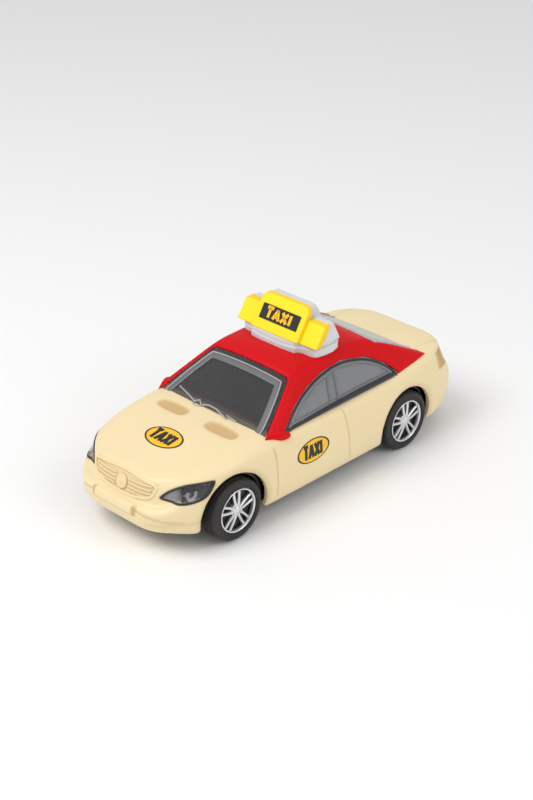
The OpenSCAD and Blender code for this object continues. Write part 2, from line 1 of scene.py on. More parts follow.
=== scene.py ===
import bmesh
import bpy
import numpy as np
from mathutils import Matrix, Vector


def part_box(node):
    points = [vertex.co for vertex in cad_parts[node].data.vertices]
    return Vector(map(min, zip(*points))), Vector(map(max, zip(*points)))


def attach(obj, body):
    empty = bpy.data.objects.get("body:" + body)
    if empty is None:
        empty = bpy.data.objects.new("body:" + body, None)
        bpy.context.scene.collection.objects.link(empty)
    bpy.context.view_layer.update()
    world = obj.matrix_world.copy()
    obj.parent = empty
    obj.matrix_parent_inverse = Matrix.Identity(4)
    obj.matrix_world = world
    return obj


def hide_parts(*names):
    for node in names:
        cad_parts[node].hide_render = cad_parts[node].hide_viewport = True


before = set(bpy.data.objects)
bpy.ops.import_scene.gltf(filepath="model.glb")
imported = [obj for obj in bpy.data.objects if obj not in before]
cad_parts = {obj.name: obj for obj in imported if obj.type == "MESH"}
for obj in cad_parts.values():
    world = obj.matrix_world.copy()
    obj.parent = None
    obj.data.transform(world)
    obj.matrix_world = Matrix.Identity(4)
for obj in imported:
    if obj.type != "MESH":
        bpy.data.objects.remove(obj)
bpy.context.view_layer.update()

# ---- Floor, light and camera -------------------------------------------------------------
# A pale matt floor under soft daylight from all round, with one large soft panel ahead of the
# car and a weaker one behind it.
MM = 0.001


def mesh_object(name, points, faces, smooth=40):
    """Mesh from points in millimetres and faces, with creases kept sharp above smooth degrees."""
    mesh = bpy.data.meshes.new(name)
    mesh.from_pydata((np.asarray(points, float).reshape(-1, 3) * MM).tolist(), [], faces)
    mesh.update()
    mesh.shade_smooth()
    mesh.set_sharp_from_angle(angle=np.radians(smooth))
    obj = bpy.data.objects.new(name, mesh)
    bpy.context.scene.collection.objects.link(obj)
    return obj


def principled(name, color, roughness, **sockets):
    """A new material and its Principled shader, with plain values on the shader's own sockets."""
    mat = bpy.data.materials.new(name)
    mat.use_nodes = True
    shader = mat.node_tree.nodes["Principled BSDF"]
    shader.inputs["Base Color"].default_value = (*color, 1)
    shader.inputs["Roughness"].default_value = roughness
    for key, value in sockets.items():
        shader.inputs[key.replace("_", " ").title().replace("Ior", "IOR")].default_value = value
    return mat, shader


floor_half = 2500
floor = mesh_object("floor", [(-floor_half, -floor_half, 0), (floor_half, -floor_half, 0),
                              (floor_half, floor_half, 0), (-floor_half, floor_half, 0)],
                    [(0, 1, 2, 3)])
floor.data.materials.append(principled("pale floor", (0.93, 0.93, 0.93), 0.9)[0])

scene = bpy.context.scene
scene.view_settings.view_transform = "Standard"
world = bpy.data.worlds.new("daylight")
scene.world = world
world.use_nodes = True
world.node_tree.nodes["Background"].inputs["Color"].default_value = (1, 1, 1, 1)
world.node_tree.nodes["Background"].inputs["Strength"].default_value = 0.62


def soft_panel(name, place, size, power):
    """A square area light at a place in millimetres, turned towards the car."""
    light = bpy.data.lights.new(name, "AREA")
    light.size = size * MM
    light.energy = power
    lamp = bpy.data.objects.new(name, light)
    lamp.location = Vector(place) * MM
    lamp.rotation_euler = (Vector((0, 0, 20)) - Vector(place)).to_track_quat("-Z", "Y").to_euler()
    scene.collection.objects.link(lamp)


soft_panel("front panel", (420, -140, 620), 420, 2.6)
soft_panel("side panel", (-120, 520, 420), 380, 0.9)

azimuth, elevation = np.radians(134.28), np.radians(28.45)
distance, aim = 531.8, Vector((2.5, 0, 18.96))
back = Vector((np.sin(azimuth) * np.cos(elevation), -np.cos(azimuth) * np.cos(elevation),
               np.sin(elevation)))
camera = bpy.data.objects.new("camera", bpy.data.cameras.new("camera"))
camera.data.lens = 76.37
camera.data.shift_y = 0.0125
camera.data.clip_start = 0.01
camera.location = (aim + back * distance) * MM
camera.rotation_euler = back.to_track_quat("Z", "Y").to_euler()
scene.collection.objects.link(camera)
scene.camera = camera


# ---- Body shell --------------------------------------------------------------------------
# One cream plastic moulding, open below, with the bumpers, grille, bonnet vents, door lines
# and tail lamps moulded in. It is screwed to the floor plate from below.
hands = ((1, "left"), (-1, "right"))


def corners(node):
    """Lowest and highest corner of a CAD node, in millimetres."""
    low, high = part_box(node)
    return np.array(low) / MM, np.array(high) / MM


def axle_x(tyre):
    """Where an axle crosses X, from the tyre on it."""
    low, high = corners(tyre)
    return (low[0] + high[0]) / 2


body_low, body_high = corners("body_shell")
half_len, half_wid = body_high[0], body_high[1]
front_x, rear_x = axle_x("tyre_front_left"), axle_x("tyre_rear_left")
axle_z = corners("tyre_front_left")[1][2] / 2
front_n, rear_n = 3.95, 5.0
spine_x = 46.0
sill_z, front_z, rear_z = 6.4, 5.4, 7.5
arch_r, arch_shift = 12.2, 0.5
wall = 1.6

side_rows = np.array([(1.3, 0), (0.7, 0.06), (0.25, 0.18), (0, 0.36), (0, 0.5), (0.15, 0.62),
                      (0.5, 0.74), (1.1, 0.84), (1.9, 0.91), (3, 0.955), (4.4, 0.985), (6.5, 1)])
front_rows = np.array([(7.4, 0), (4.4, 0.05), (2.2, 0.13), (0.6, 0.27), (0, 0.45), (0.15, 0.55),
                       (1.3, 0.595), (3, 0.625), (3.9, 0.8), (4.9, 0.93), (6, 0.985), (8.4, 1)])
rear_rows = np.array([(3.4, 0), (1.4, 0.05), (0.5, 0.13), (0, 0.25), (0, 0.4), (0.3, 0.5),
                      (1.2, 0.55), (2, 0.6), (3.2, 0.8), (3.9, 0.93), (5.4, 0.985), (8, 1)])


def ease(a, b, x):
    """0 before a, 1 after b, and a smooth cubic between."""
    t = np.clip((x - a) / (b - a), 0, 1)
    return t * t * (3 - 2 * t)


def deck_z(x, y):
    """Top of the body: level, a little higher behind, falling away as squares at both ends,
    and crowned across as the square of y."""
    return (28.3 + 1.3 * ease(0, -45, x) - 2.6 * (np.maximum(0, -48 - x) / 20) ** 2
            - 6.9 * (np.maximum(0, x - 24) / 44) ** 2
            - (1 + 0.6 * ease(20, -50, x)) * (y / half_wid) ** 2)


def points_at(*parts):
    """Points from their coordinates, spread to one common shape."""
    return np.stack(np.broadcast_arrays(*parts), -1)


def glide(rows, t):
    """Catmull-Rom curve through the rows, with t counting rows."""
    last = len(rows) - 1
    i = np.clip(np.floor(t).astype(int), 0, last - 1)
    u = (t - i)[..., None]
    p1, p2 = rows[i], rows[i + 1]
    p0 = np.where((i > 0)[..., None], rows[np.maximum(i - 1, 0)], 2 * p1 - p2)
    p3 = np.where((i < last - 1)[..., None], rows[np.minimum(i + 2, last)], 2 * p2 - p1)
    return 0.5 * (2 * p1 + (p2 - p0) * u + (2 * p0 - 5 * p1 + 4 * p2 - p3) * u * u
                  + (3 * p1 - p0 - 3 * p2 + p3) * u ** 3)


def body_skin(th, s, w=0.0):
    """Outside of the body grown inwards by w. The widest outline at angle th is a superellipse.
    For s from 0 to 1 a blend of the side, front and rear rows gives the inset and the share of
    the height; for s from 1 to 2 the inset runs on to the spine."""
    c, d = np.cos(th), np.sin(th)
    n = np.where(c > 0, front_n, rear_n)
    a, b = half_len - w, half_wid - w
    x = a * np.sign(c) * np.abs(c) ** (2 / n)
    y = b * np.sign(d) * np.abs(d) ** (2 / n)
    gx = np.sign(x) * np.abs(x / a) ** (n - 1) / a
    gy = np.sign(y) * np.abs(y / b) ** (n - 1) / b
    nx = gx / np.hypot(gx, gy)
    f, r = ease(0.25, 0.85, nx), ease(0.25, 0.85, -nx)
    t = np.clip(s, 0, 1) * (len(side_rows) - 1)
    row = sum(share[..., None] * glide(rows, t) for share, rows in (
        (f, front_rows), (r, rear_rows), (1 - f - r, side_rows)))
    sx = x / a * spine_x
    reach = np.hypot(x - sx, y)
    inset = row[..., 0] + (reach - row[..., 0]) * np.clip(s - 1, 0, 1)
    k = inset / reach
    px, py = x + (sx - x) * k, y * (1 - k)
    low = f * front_z + r * rear_z + (1 - f - r) * sill_z
    pz = low + (deck_z(px, py) - w - low) * np.minimum(row[..., 1], 1)
    return points_at(px, py, pz)


def normals(p):
    """Outward unit normals of a grid of points, from the cross product of its two directions."""
    n = np.cross(np.gradient(p, axis=1), np.gradient(p, axis=0))
    return n / np.maximum(np.linalg.norm(n, axis=-1, keepdims=True), 1e-9)


def band(value, low, high, soft):
    """1 between low and high, falling to 0 over soft on both sides."""
    return ease(low - soft, low, value) * ease(high + soft, high, value)


def from_outline(px, py, outline):
    """Distance from points to a closed outline, negative inside."""
    q = np.asarray(outline, float)
    best, inside = np.full(px.shape, 1e9), np.zeros(px.shape, bool)
    for (ax, ay), (bx, by) in zip(q, np.roll(q, -1, axis=0)):
        ex, ey = bx - ax, by - ay
        t = np.clip(((px - ax) * ex + (py - ay) * ey) / (ex * ex + ey * ey), 0, 1)
        best = np.minimum(best, np.hypot(px - ax - t * ex, py - ay - t * ey))
        crosses = (ay > py) != (by > py)
        inside ^= crosses & (px < ex * (py - ay) / (ey if ey else 1) + ax)
    return np.where(inside, -best, best)


def rounded(outline, turns=3):
    """Closed outline with its corners cut by a quarter of each side, turns times over."""
    q = np.asarray(outline, float)
    for _ in range(turns):
        nxt = np.roll(q, -1, axis=0)
        q = np.stack((q * 0.75 + nxt * 0.25, q * 0.25 + nxt * 0.75), 1).reshape(-1, 2)
    return q


# headlamp outline, seen along the line halfway between forwards and sideways: (across, z)
lamp = rounded([(-33.2, 18.1), (-33, 18.6), (-30.6, 20.6), (-27.6, 22), (-24, 22.8), (-17.2, 22.6),
                (-16.8, 22.1), (-18.6, 19), (-21, 17.8), (-26, 17.5)], 2)
vent = rounded([(30.0, 5.2), (32.6, 4.0), (34.9, 5.4), (34.5, 15.6), (32.2, 17.0), (30.0, 15.6)], 1)
nose_frame = [(-13.2, 21.7), (-12.8, 19.6), (-11.6, 17.5), (-5, 16.2), (0, 16.0), (5, 16.2),
              (11.6, 17.5), (12.8, 19.6), (13.2, 21.7), (6, 22.4), (0, 22.6), (-6, 22.4)]


def relief(p, n):
    """How far the body's detail stands out of the plain skin, in millimetres, and how much painted
    shade darkens its colour there: door lines, vents, number plate, bumper slots, lamp surrounds,
    rolled arch lips, boot line and tail lamps, with a painted shadow at the plate's right end and
    under its lower edge."""
    x, y, z = p[..., 0], np.abs(p[..., 1]), p[..., 2]
    side = ease(0.5, 0.8, np.abs(n[..., 1]))
    # tint is painted shade: how far the colour is darkened towards brown in each groove and hollow.
    out, tint = np.zeros(x.shape), np.zeros(x.shape)
    for line in (24.8 + (z - 9) * 0.037, -7.4 + (z - 9) * 0.14):
        groove = side * band(z, 8.4, 26.4, 0.8) * np.exp(-((x - line) / 0.2) ** 2)
        out, tint = out - 0.28 * groove, tint + 0.5 * groove
    top = ease(0.7, 0.9, n[..., 2])
    dip = top * ease(0.5, -0.5, from_outline(x, y, vent))
    out, tint = out - 0.6 * dip, tint + 0.75 * dip
    ahead = ease(0.35, 0.7, n[..., 0]) * (x > 40)
    plate = ahead * band(y, -1, 8.0, 0.25) * band(z, 12.7, 15.3, 0.2)
    # Painted shadow at the plate's right end and along its lower edge.
    shade = ahead * (band(y, 8.1, 9.2, 0.35) * band(z, 12.4, 15.2, 0.4)
                     + 0.5 * band(y, -1, 8, 0.3) * np.exp(-((z - 12.3) / 0.3) ** 2))
    nose = (x > 44) * np.exp(-((z - 13.9 + 0.22 * (y - 9.8)) / 0.4) ** 2) * band(y, 9.4, 21, 0.5)
    nose += 0.6 * (x > 44) * np.exp(-((z - 10.6) / 0.4) ** 2) * ease(11, 15, y)
    grid_dip = ahead * ease(0.3, -0.3, from_outline(p[..., 1], z, nose_frame))
    out += 0.45 * plate - 0.4 * nose - 0.25 * grid_dip
    tint += 0.75 * shade + 0.4 * nose + 0.14 * grid_dip
    across = (y - x) / np.sqrt(2)
    edge = from_outline(across, z, lamp)
    rim = (x > 38) * np.exp(-(edge / 0.35) ** 2)
    out, tint = out - 0.3 * rim, tint + 0.3 * rim
    for ax in (front_x, rear_x):
        d = np.hypot(x - ax - arch_shift, z - axle_z) - arch_r
        lip = (y > 17) * (z < 24) * np.clip(1 - d / 0.9, 0, 1.6) ** 2
        out, tint = out - 0.45 * lip, tint + (y > 17) * (z < 24) * 0.3 * ease(2.2, 0, d)
    behind = ease(0.4, 0.7, -n[..., 0]) * (x < -50)
    tail = (x < -52) * band(y, 13.5, 40, 0.8) * band(z, 22.2, 26.9, 0.6) * ease(0.1, 0.3, -n[..., 0])
    back_plate = behind * band(y, -1, 9.0, 0.3) * band(z, 19.6, 23.6, 0.3)
    boot = (x < -44) * np.exp(-((y - 17.5) / 0.22) ** 2) * top * (x > -62.5)
    boot_lip = (x < -50) * (y < 17.6) * np.exp(-((x + 62.4) / 0.25) ** 2) * top
    bumper = behind * np.exp(-((z - 10.6) / 0.5) ** 2) * band(y, -1, 17, 1)
    out += -0.45 * tail - 0.35 * back_plate - 0.22 * np.maximum(boot, boot_lip) - 0.35 * bumper
    tint += tail + 0.25 * back_plate + 0.3 * np.maximum(boot, boot_lip) + 0.3 * bumper
    return out, np.clip(tint, 0, 1)


def grid_faces(rows, cols, around=False, first=0, flip=False):
    """Quads of a rows by cols grid of points whose numbers start at first."""
    i, j = np.meshgrid(np.arange(rows - 1), np.arange(cols if around else cols - 1), indexing="ij")
    a, b = i * cols + j, i * cols + (j + 1) % cols
    quads = np.stack((a, b, b + cols, a + cols), -1).reshape(-1, 4) + first
    return (quads[:, ::-1] if flip else quads).tolist()


def closed_shell(outer, inner):
    """Points and faces of a shell between two rings-by-columns grids with equal columns, which
    run round the body, closed along the spine and joined at the foot."""
    rows, cols = outer.shape[:2]
    first = rows * cols
    faces = grid_faces(rows, cols, True) + grid_faces(inner.shape[0], cols, True, first, True)
    j = np.arange(cols)
    k = (j + 1) % cols
    faces += np.stack((k, j, first + j, first + k), -1).tolist()
    return np.concatenate((outer.reshape(-1, 3), inner.reshape(-1, 3))), faces


def weld(obj, smooth=40):
    """Merges points that lie together, turns all faces outwards and marks creases."""
    bm = bmesh.new()
    bm.from_mesh(obj.data)
    bmesh.ops.remove_doubles(bm, verts=bm.verts, dist=2e-6)
    bmesh.ops.dissolve_degenerate(bm, edges=bm.edges, dist=1e-6)
    bmesh.ops.recalc_face_normals(bm, faces=bm.faces)
    bm.to_mesh(obj.data)
    bm.free()
    obj.data.shade_smooth()
    obj.data.set_sharp_from_angle(angle=np.radians(smooth))
    return obj


def carve(obj, cutters, operation="DIFFERENCE", smooth=40):
    """Applies one exact boolean per cutter to obj and throws the cutters away."""
    for cutter in cutters:
        mod = obj.modifiers.new("carve", "BOOLEAN")
        mod.operation = operation
        mod.solver = "EXACT"
        mod.object = cutter
    bpy.context.view_layer.update()
    done = bpy.data.meshes.new_from_object(obj.evaluated_get(bpy.context.evaluated_depsgraph_get()))
    obj.modifiers.clear()
    old = obj.data
    obj.data = done
    bpy.data.meshes.remove(old)
    for cutter in cutters:
        bpy.data.objects.remove(cutter)
    obj.data.shade_smooth()
    obj.data.set_sharp_from_angle(angle=np.radians(smooth))
    return obj


def prism(outline, origin, u, v, along):
    """Closed prism: outline points times directions u and v from origin, carried along a vector."""
    q = np.asarray(outline, float)
    base = np.asarray(origin, float) + q[:, :1] * np.array(u) + q[:, 1:] * np.array(v)
    n = len(q)
    walls = [(i, (i + 1) % n, (i + 1) % n + n, i + n) for i in range(n)]
    obj = mesh_object("cutter", np.concatenate((base, base + np.array(along))),
                      walls + [list(range(n))[::-1], list(range(n, 2 * n))])
    return weld(obj)


def plan_prism(outline, foot, height):
    """Upright prism over an outline in plan, from its foot up."""
    return prism(outline, (0, 0, foot), (1, 0, 0), (0, 1, 0), (0, 0, height))


def side_prism(outline, side, start, depth, origin=(0, 0)):
    """Prism over an outline seen from the side, from a distance start out to one side."""
    return prism(outline, (origin[0], side * start, origin[1]), (1, 0, 0), (0, 0, 1),
                 (0, side * depth, 0))


def circle(radius, count=96):
    """Outline of a circle about the origin, counted from +x."""
    a = np.linspace(0, 2 * np.pi, count, endpoint=False)
    return np.stack((np.cos(a), np.sin(a)), -1) * radius


def lamp_prism(side):
    """Prism through the headlamp's outline, along the line halfway between +X and the side."""
    h = np.sqrt(0.5)
    start = np.array((25 * h, 25 * h * side, 0))
    return prism(lamp, start, (-h, h * side, 0), (0, 0, 1), (50 * h, 50 * h * side, 0))


def moulding_group():
    """Shared surface of every moulded piece: a broad cloud between two tones, roughness that
    drifts with it, and a fine grain as a bump. Noise is read in object space."""
    if "moulding" in bpy.data.node_groups:
        return bpy.data.node_groups["moulding"]
    group = bpy.data.node_groups.new("moulding", "ShaderNodeTree")
    face = group.interface
    for label, kind, value in (("Low Tone", "NodeSocketColor", (0.4, 0.4, 0.4, 1)),
                               ("High Tone", "NodeSocketColor", (0.5, 0.5, 0.5, 1)),
                               ("Base Roughness", "NodeSocketFloat", 0.4),
                               ("Grain Size", "NodeSocketFloat", 0.4),
                               ("Grain Height", "NodeSocketFloat", 0.1)):
        face.new_socket(label, in_out="INPUT", socket_type=kind).default_value = value
    for label, kind in (("Color", "NodeSocketColor"), ("Roughness", "NodeSocketFloat"),
                        ("Normal", "NodeSocketVector")):
        face.new_socket(label, in_out="OUTPUT", socket_type=kind)
    new = group.nodes.new
    given, out = new("NodeGroupInput").outputs, new("NodeGroupOutput").inputs
    where = new("ShaderNodeTexCoord").outputs["Object"]
    cloud, grain = new("ShaderNodeTexNoise"), new("ShaderNodeTexNoise")
    size, rough = new("ShaderNodeMath"), new("ShaderNodeMath")
    tone, drift, bump = (new("ShaderNodeMix"), new("ShaderNodeMapRange"), new("ShaderNodeBump"))
    size.operation = "DIVIDE"
    tone.data_type = "RGBA"
    for node, key, value in ((cloud, "Scale", 45), (cloud, "Detail", 3), (grain, "Detail", 2),
                             (size, 0, 1000), (drift, "From Min", 0.3), (drift, "From Max", 0.7),
                             (drift, "To Min", -0.03), (drift, "To Max", 0.05),
                             (bump, "Distance", 0.0001)):
        node.inputs[key].default_value = value
    for source, target in (
            (where, cloud.inputs["Vector"]), (where, grain.inputs["Vector"]),
            (given["Grain Size"], size.inputs[1]), (size.outputs[0], grain.inputs["Scale"]),
            (cloud.outputs["Fac"], tone.inputs["Factor"]), (given["Low Tone"], tone.inputs["A"]),
            (given["High Tone"], tone.inputs["B"]), (tone.outputs["Result"], out["Color"]),
            (cloud.outputs["Fac"], drift.inputs["Value"]), (given["Base Roughness"], rough.inputs[0]),
            (drift.outputs["Result"], rough.inputs[1]), (rough.outputs[0], out["Roughness"]),
            (grain.outputs["Fac"], bump.inputs["Height"]),
            (given["Grain Height"], bump.inputs["Strength"]), (bump.outputs["Normal"], out["Normal"])):
        group.links.new(source, target)
    return group


def moulded(name, low, high, roughness, grain=0.4, strength=0.06, mark=None, marked=None, **sockets):
    """Moulded or finished surface from the shared group, between two tones. Where the attribute
    called mark is high, the marked colour takes their place."""
    mat, shader = principled(name, high, roughness, **sockets)
    new, link = mat.node_tree.nodes.new, mat.node_tree.links.new
    surface = new("ShaderNodeGroup")
    surface.node_tree = moulding_group()
    for key, value in (("Grain Size", grain), ("Grain Height", strength),
                       ("Base Roughness", roughness), ("Low Tone", (*low, 1)),
                       ("High Tone", (*high, 1))):
        surface.inputs[key].default_value = value
    color = surface.outputs["Color"]
    if mark:
        reader, mix = new("ShaderNodeAttribute"), new("ShaderNodeMix")
        reader.attribute_name = mark
        mix.data_type = "RGBA"
        mix.inputs["B"].default_value = (*marked, 1)
        link(reader.outputs["Fac"], mix.inputs["Factor"])
        link(color, mix.inputs["A"])
        color = mix.outputs["Result"]
    link(color, shader.inputs["Base Color"])
    link(surface.outputs["Roughness"], shader.inputs["Roughness"])
    link(surface.outputs["Normal"], shader.inputs["Normal"])
    return mat


def with_painted_shade(name, color, deep, roughness, grain, strength, **sockets):
    """Moulded plastic with painted shade: the deep colour takes the place of its tones where the point
    attribute for painted shade is high.
    """
    return moulded(name, np.array(color) * 0.93, color, roughness, grain, strength, "painted_shade", deep,
                   **sockets)


def point_values(obj, name, values):
    """Writes a value per point, for the materials to read by name."""
    obj.data.attributes.new(name, "FLOAT", "POINT").data.foreach_set("value", values)


def place(obj, material, body, slot, *nodes):
    """Gives a finished piece its material and body and hides the CAD nodes it stands for; slot is not
    used.
    """
    obj.data.materials.clear()
    obj.data.materials.append(material)
    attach(obj, body)
    if nodes:
        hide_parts(*nodes)
    return obj


def side_angle(x):
    """Angle th at which the left side's widest outline crosses x."""
    return np.arccos(np.sign(x) * np.abs(x / half_len) ** (np.where(x > 0, front_n, rear_n) / 2))


end_y = np.arange(0, 0.93 * half_wid, 0.45)
half_th = np.concatenate((
    np.arcsin((end_y / half_wid) ** (front_n / 2)),
    np.pi - np.arcsin((end_y / half_wid) ** (rear_n / 2)),
    side_angle(np.arange(-61.6, 61.6, 0.8)), side_angle(24.9 + np.linspace(-0.6, 0.6, 9)),
    side_angle(np.linspace(-7.9, -4.2, 19)), side_angle(np.array((-65.2, -64, -62.8, 62.8, 64, 65.2)))))
half_th = np.unique(half_th.round(6))
th = np.concatenate((half_th, [np.pi], -half_th[half_th > 0][::-1]))
th = np.unique(np.mod(th, 2 * np.pi).round(6))
lift = np.concatenate((np.linspace(0, 0.42, 24), np.linspace(0.42, 0.93, 46)[1:],
                       np.linspace(0.93, 1, 7)[1:], np.linspace(1, 2, 32)[1:]))
skin = body_skin(th[None, :], lift[:, None])
facing = normals(np.concatenate((skin[:, -1:], skin, skin[:, :1]), 1))[:, 1:-1]
# The second value is the painted shade of the recesses, kept as a point attribute; the lining gets
# none.
raised, painted_shade = relief(skin, facing)
skin = skin + facing * raised[..., None]
lining = np.concatenate((body_skin(th[None, :], np.array([[0.0]]), wall),
                         body_skin(th[None, :], np.linspace(0, 2, 16)[:, None], wall)))
body = mesh_object("body_shell_skin", *closed_shell(skin, lining))
point_values(body, "painted_shade", np.concatenate((painted_shade.ravel(), np.zeros(lining[..., 0].size))))
weld(body)
cab_hole = [(23, 15), (19, 19.5), (-36, 19.5), (-41, 16), (-41, -16), (-36, -19.5), (19, -19.5),
            (23, -15)]
cutters = [plan_prism(cab_hole, 20, 20)]
for side in (1, -1):
    cutters.append(lamp_prism(side))
    for x in (front_x, rear_x):
        cutters.append(side_prism(circle(arch_r), side, 19, 12, (x + arch_shift, axle_z)))
carve(body, cutters)
# Cream with painted shade: the brown deep colour darkens the body where its painted-shade attribute is
# high.
cream = with_painted_shade("cream plastic", (0.90, 0.735, 0.43), (0.56, 0.33, 0.11), 0.45, 0.35, 0.04,
                      coat_weight=0.12, coat_roughness=0.15)
place(body, cream, "car", "cream_plastic", "body_shell")


# ---- Grille and badge --------------------------------------------------------------------
# Part of the same cream moulding: a raised frame with a plain round boss in its middle and
# thin bars to each side, all in low relief on the nose.
def front_turn(v):
    """Angle th at which the widest outline stands v half widths to the left, ahead."""
    return np.sign(v) * np.arcsin(np.minimum(np.abs(v), 1) ** (front_n / 2))


def seek(measure, goal, turn, v, s):
    """Points and normals of the plain body skin where measure gives goal. Newton's method on
    the column v and the height s, with slopes taken over small steps."""
    goal = np.asarray(goal, float)
    v, s = np.broadcast_to(v, goal.shape[:-1]) + 0.0, np.broadcast_to(s, goal.shape[:-1]) + 0.0
    h = 1e-4
    for _ in range(40):
        miss = measure(body_skin(turn(v), s)) - goal
        a = (measure(body_skin(turn(v + h), s)) - measure(body_skin(turn(v - h), s))) / (2 * h)
        b = (measure(body_skin(turn(v), s + h)) - measure(body_skin(turn(v), s - h))) / (2 * h)
        det = a[..., 0] * b[..., 1] - a[..., 1] * b[..., 0]
        det = np.where(np.abs(det) < 1e-6, 1e-6, det)
        dv = (miss[..., 0] * b[..., 1] - miss[..., 1] * b[..., 0]) / det
        ds = (a[..., 0] * miss[..., 1] - a[..., 1] * miss[..., 0]) / det
        v = np.clip(v - np.clip(dv, -0.1, 0.1), -0.995, 0.995)
        s = np.clip(s - np.clip(ds, -0.05, 0.05), 0.002, 1.99)
    a = body_skin(turn(v + h), s) - body_skin(turn(v - h), s)
    b = body_skin(turn(v), s + h) - body_skin(turn(v), s - h)
    p, n = body_skin(turn(v), s), np.cross(a, b)
    n *= np.sign(np.sum(n * (p - (0, 0, 12)), -1, keepdims=True))
    return p, n / np.linalg.norm(n, axis=-1, keepdims=True)


def on_nose(y, z):
    """Points and normals of the nose at the given y and z."""
    goal = points_at(y, z)
    return seek(lambda p: p[..., 1:], goal, front_turn, goal[..., 0] / half_wid, 0.6)


def trail(points, step=0.4, closed=False):
    """Evenly spaced points along a polyline, step apart, measured along it."""
    q = np.asarray(points, float)
    q = np.concatenate((q, q[:1])) if closed else q
    run = np.concatenate(([0], np.cumsum(np.linalg.norm(np.diff(q, axis=0), axis=1))))
    count = max(int(round(run[-1] / step)), 4) + 1
    at = np.linspace(0, run[-1], count)
    out = np.stack([np.interp(at, run, q[:, k]) for k in range(q.shape[1])], -1)
    return out[:-1] if closed else out


def bead(path, up, width, height, closed=False, sides=10, sink=0.25):
    """Low bead carried along a path: half an ellipse of the given width and height above the
    surface and a shallow one below it, shrinking to a point at both ends unless closed."""
    path, up = np.asarray(path, float), np.asarray(up, float)
    if closed:
        ahead = np.roll(path, -1, 0) - np.roll(path, 1, 0)
        scale = np.ones(len(path))
    else:
        ahead = np.gradient(path, axis=0)
        run = np.concatenate(([0], np.cumsum(np.linalg.norm(np.diff(path, axis=0), axis=1))))
        near = np.minimum(run, run[-1] - run) / (width / 2)
        scale = np.sqrt(1 - np.clip(1 - near, 0, 1) ** 2)
    across = np.cross(ahead, up)
    across /= np.linalg.norm(across, axis=-1, keepdims=True)
    a = np.linspace(0, 2 * np.pi, sides, endpoint=False)
    lift_by = np.where(np.sin(a) > 0, height, sink) * np.sin(a)
    ring = (across[:, None] * (width / 2 * np.cos(a))[None, :, None]
            + up[:, None] * lift_by[None, :, None]) * scale[:, None, None]
    grid = path[:, None] + ring
    rows = len(path)
    faces = grid_faces(rows, sides, True)
    if closed:
        j = np.arange(sides)
        k, last = (j + 1) % sides, (rows - 1) * sides
        faces += np.stack((last + j, last + k, k, j), -1).tolist()
    return grid.reshape(-1, 3), faces


def stacked(parts):
    """Points and faces of several (points, faces) shapes as one."""
    points, faces, first = [], [], 0
    for p, f in parts:
        points.append(np.asarray(p, float).reshape(-1, 3))
        faces += (np.asarray(f) + first).tolist()
        first += len(points[-1])
    return np.concatenate(points), faces


def joined(name, parts, smooth=50):
    """One welded object from several (points, faces) shapes."""
    return weld(mesh_object(name, *stacked(parts)), smooth)


def lathe(profile, centre, axis=1, side=1, count=96):
    """Surface of revolution: profile rows of (radius, outward), turned about a line through
    centre along the axis, outward counted along side."""
    q = np.asarray(profile, float)
    a = np.linspace(0, 2 * np.pi, count, endpoint=False)
    i, j = [k for k in range(3) if k != axis]
    grid = np.zeros((len(q), count, 3)) + np.asarray(centre, float)
    grid[..., i] += q[:, :1] * np.cos(a)
    grid[..., j] += q[:, :1] * np.sin(a)
    grid[..., axis] += side * q[:, 1:]
    return grid.reshape(-1, 3), grid_faces(len(q), count, True)


outline = trail(rounded(nose_frame, 2), 0.4, True)
bar_bow, boss_mid = 0.0036, 18.9
parts = [bead(*on_nose(outline[:, 0], outline[:, 1]), 1.0, 0.42, True)]
for height in (17.3, 18.4, 19.5, 20.6):
    for side in (1, -1):
        reach = 10.8 if height < 18 else 11.9
        y = np.linspace(2.4, reach, 34) * side
        parts.append(bead(*on_nose(y, height + bar_bow * y * y), 0.5, 0.3))
boss_y, boss_z = circle(1.75, 40).T
boss_p, boss_n = on_nose(boss_y, boss_mid + boss_z)
parts.append(bead(boss_p, boss_n, 0.9, 0.5, True))
for share in np.linspace(0.15, 0.85, 4):
    parts.append(bead(*on_nose(boss_y * share, boss_mid + boss_z * share), 0.9,
                      0.62 - 0.3 * share ** 2, True))
place(joined("grille_relief", parts), cream, "car", "cream_plastic")


# ---- Headlamps ---------------------------------------------------------------------------
# A pair of silvered bowls, each with two round dishes, behind smoked clear covers that are
# clipped into dark surrounds at the front corners.
def on_corner(across, z, side):
    """Points and normals of the front corner, for a place across the headlamp's own view."""
    goal = points_at(across, z)
    p, n = seek(lambda p: np.stack(((p[..., 1] - p[..., 0]) / np.sqrt(2), p[..., 2]), -1),
                goal, front_turn, 0.75, 0.65)
    return p * (1, side, 1), n * (1, side, 1)


def patch(outer, inner):
    """Closed slab between two equal grids whose rows run from the centre to the rim."""
    rows, cols = outer.shape[:2]
    first = rows * cols
    faces = grid_faces(rows, cols, True) + grid_faces(rows, cols, True, first, True)
    j = np.arange(cols)
    k, rim = (j + 1) % cols, (rows - 1) * cols
    faces += np.stack((rim + j, rim + k, first + rim + k, first + rim + j), -1).tolist()
    return np.concatenate((outer.reshape(-1, 3), inner.reshape(-1, 3))), faces


cover_back, bowl_back = 0.85, 2.1
lamp_loop = trail(lamp, 0.35, True)
lamp_mid = np.array((-25.2, 19.9))
share = np.sqrt(np.linspace(0, 1, 22))[:, None, None]
lamp_grid = lamp_mid + (lamp_loop - lamp_mid) * share


def smoked(name, color, roughness=0.08, clear=0.9, gloss=0.5):
    """Clear moulding tinted through, with faint ripples of the mould on its surface."""
    return moulded(name, np.array(color) * 0.8, color, roughness, 2.5, 0.03,
                   transmission_weight=clear, ior=1.46, specular_ior_level=gloss)


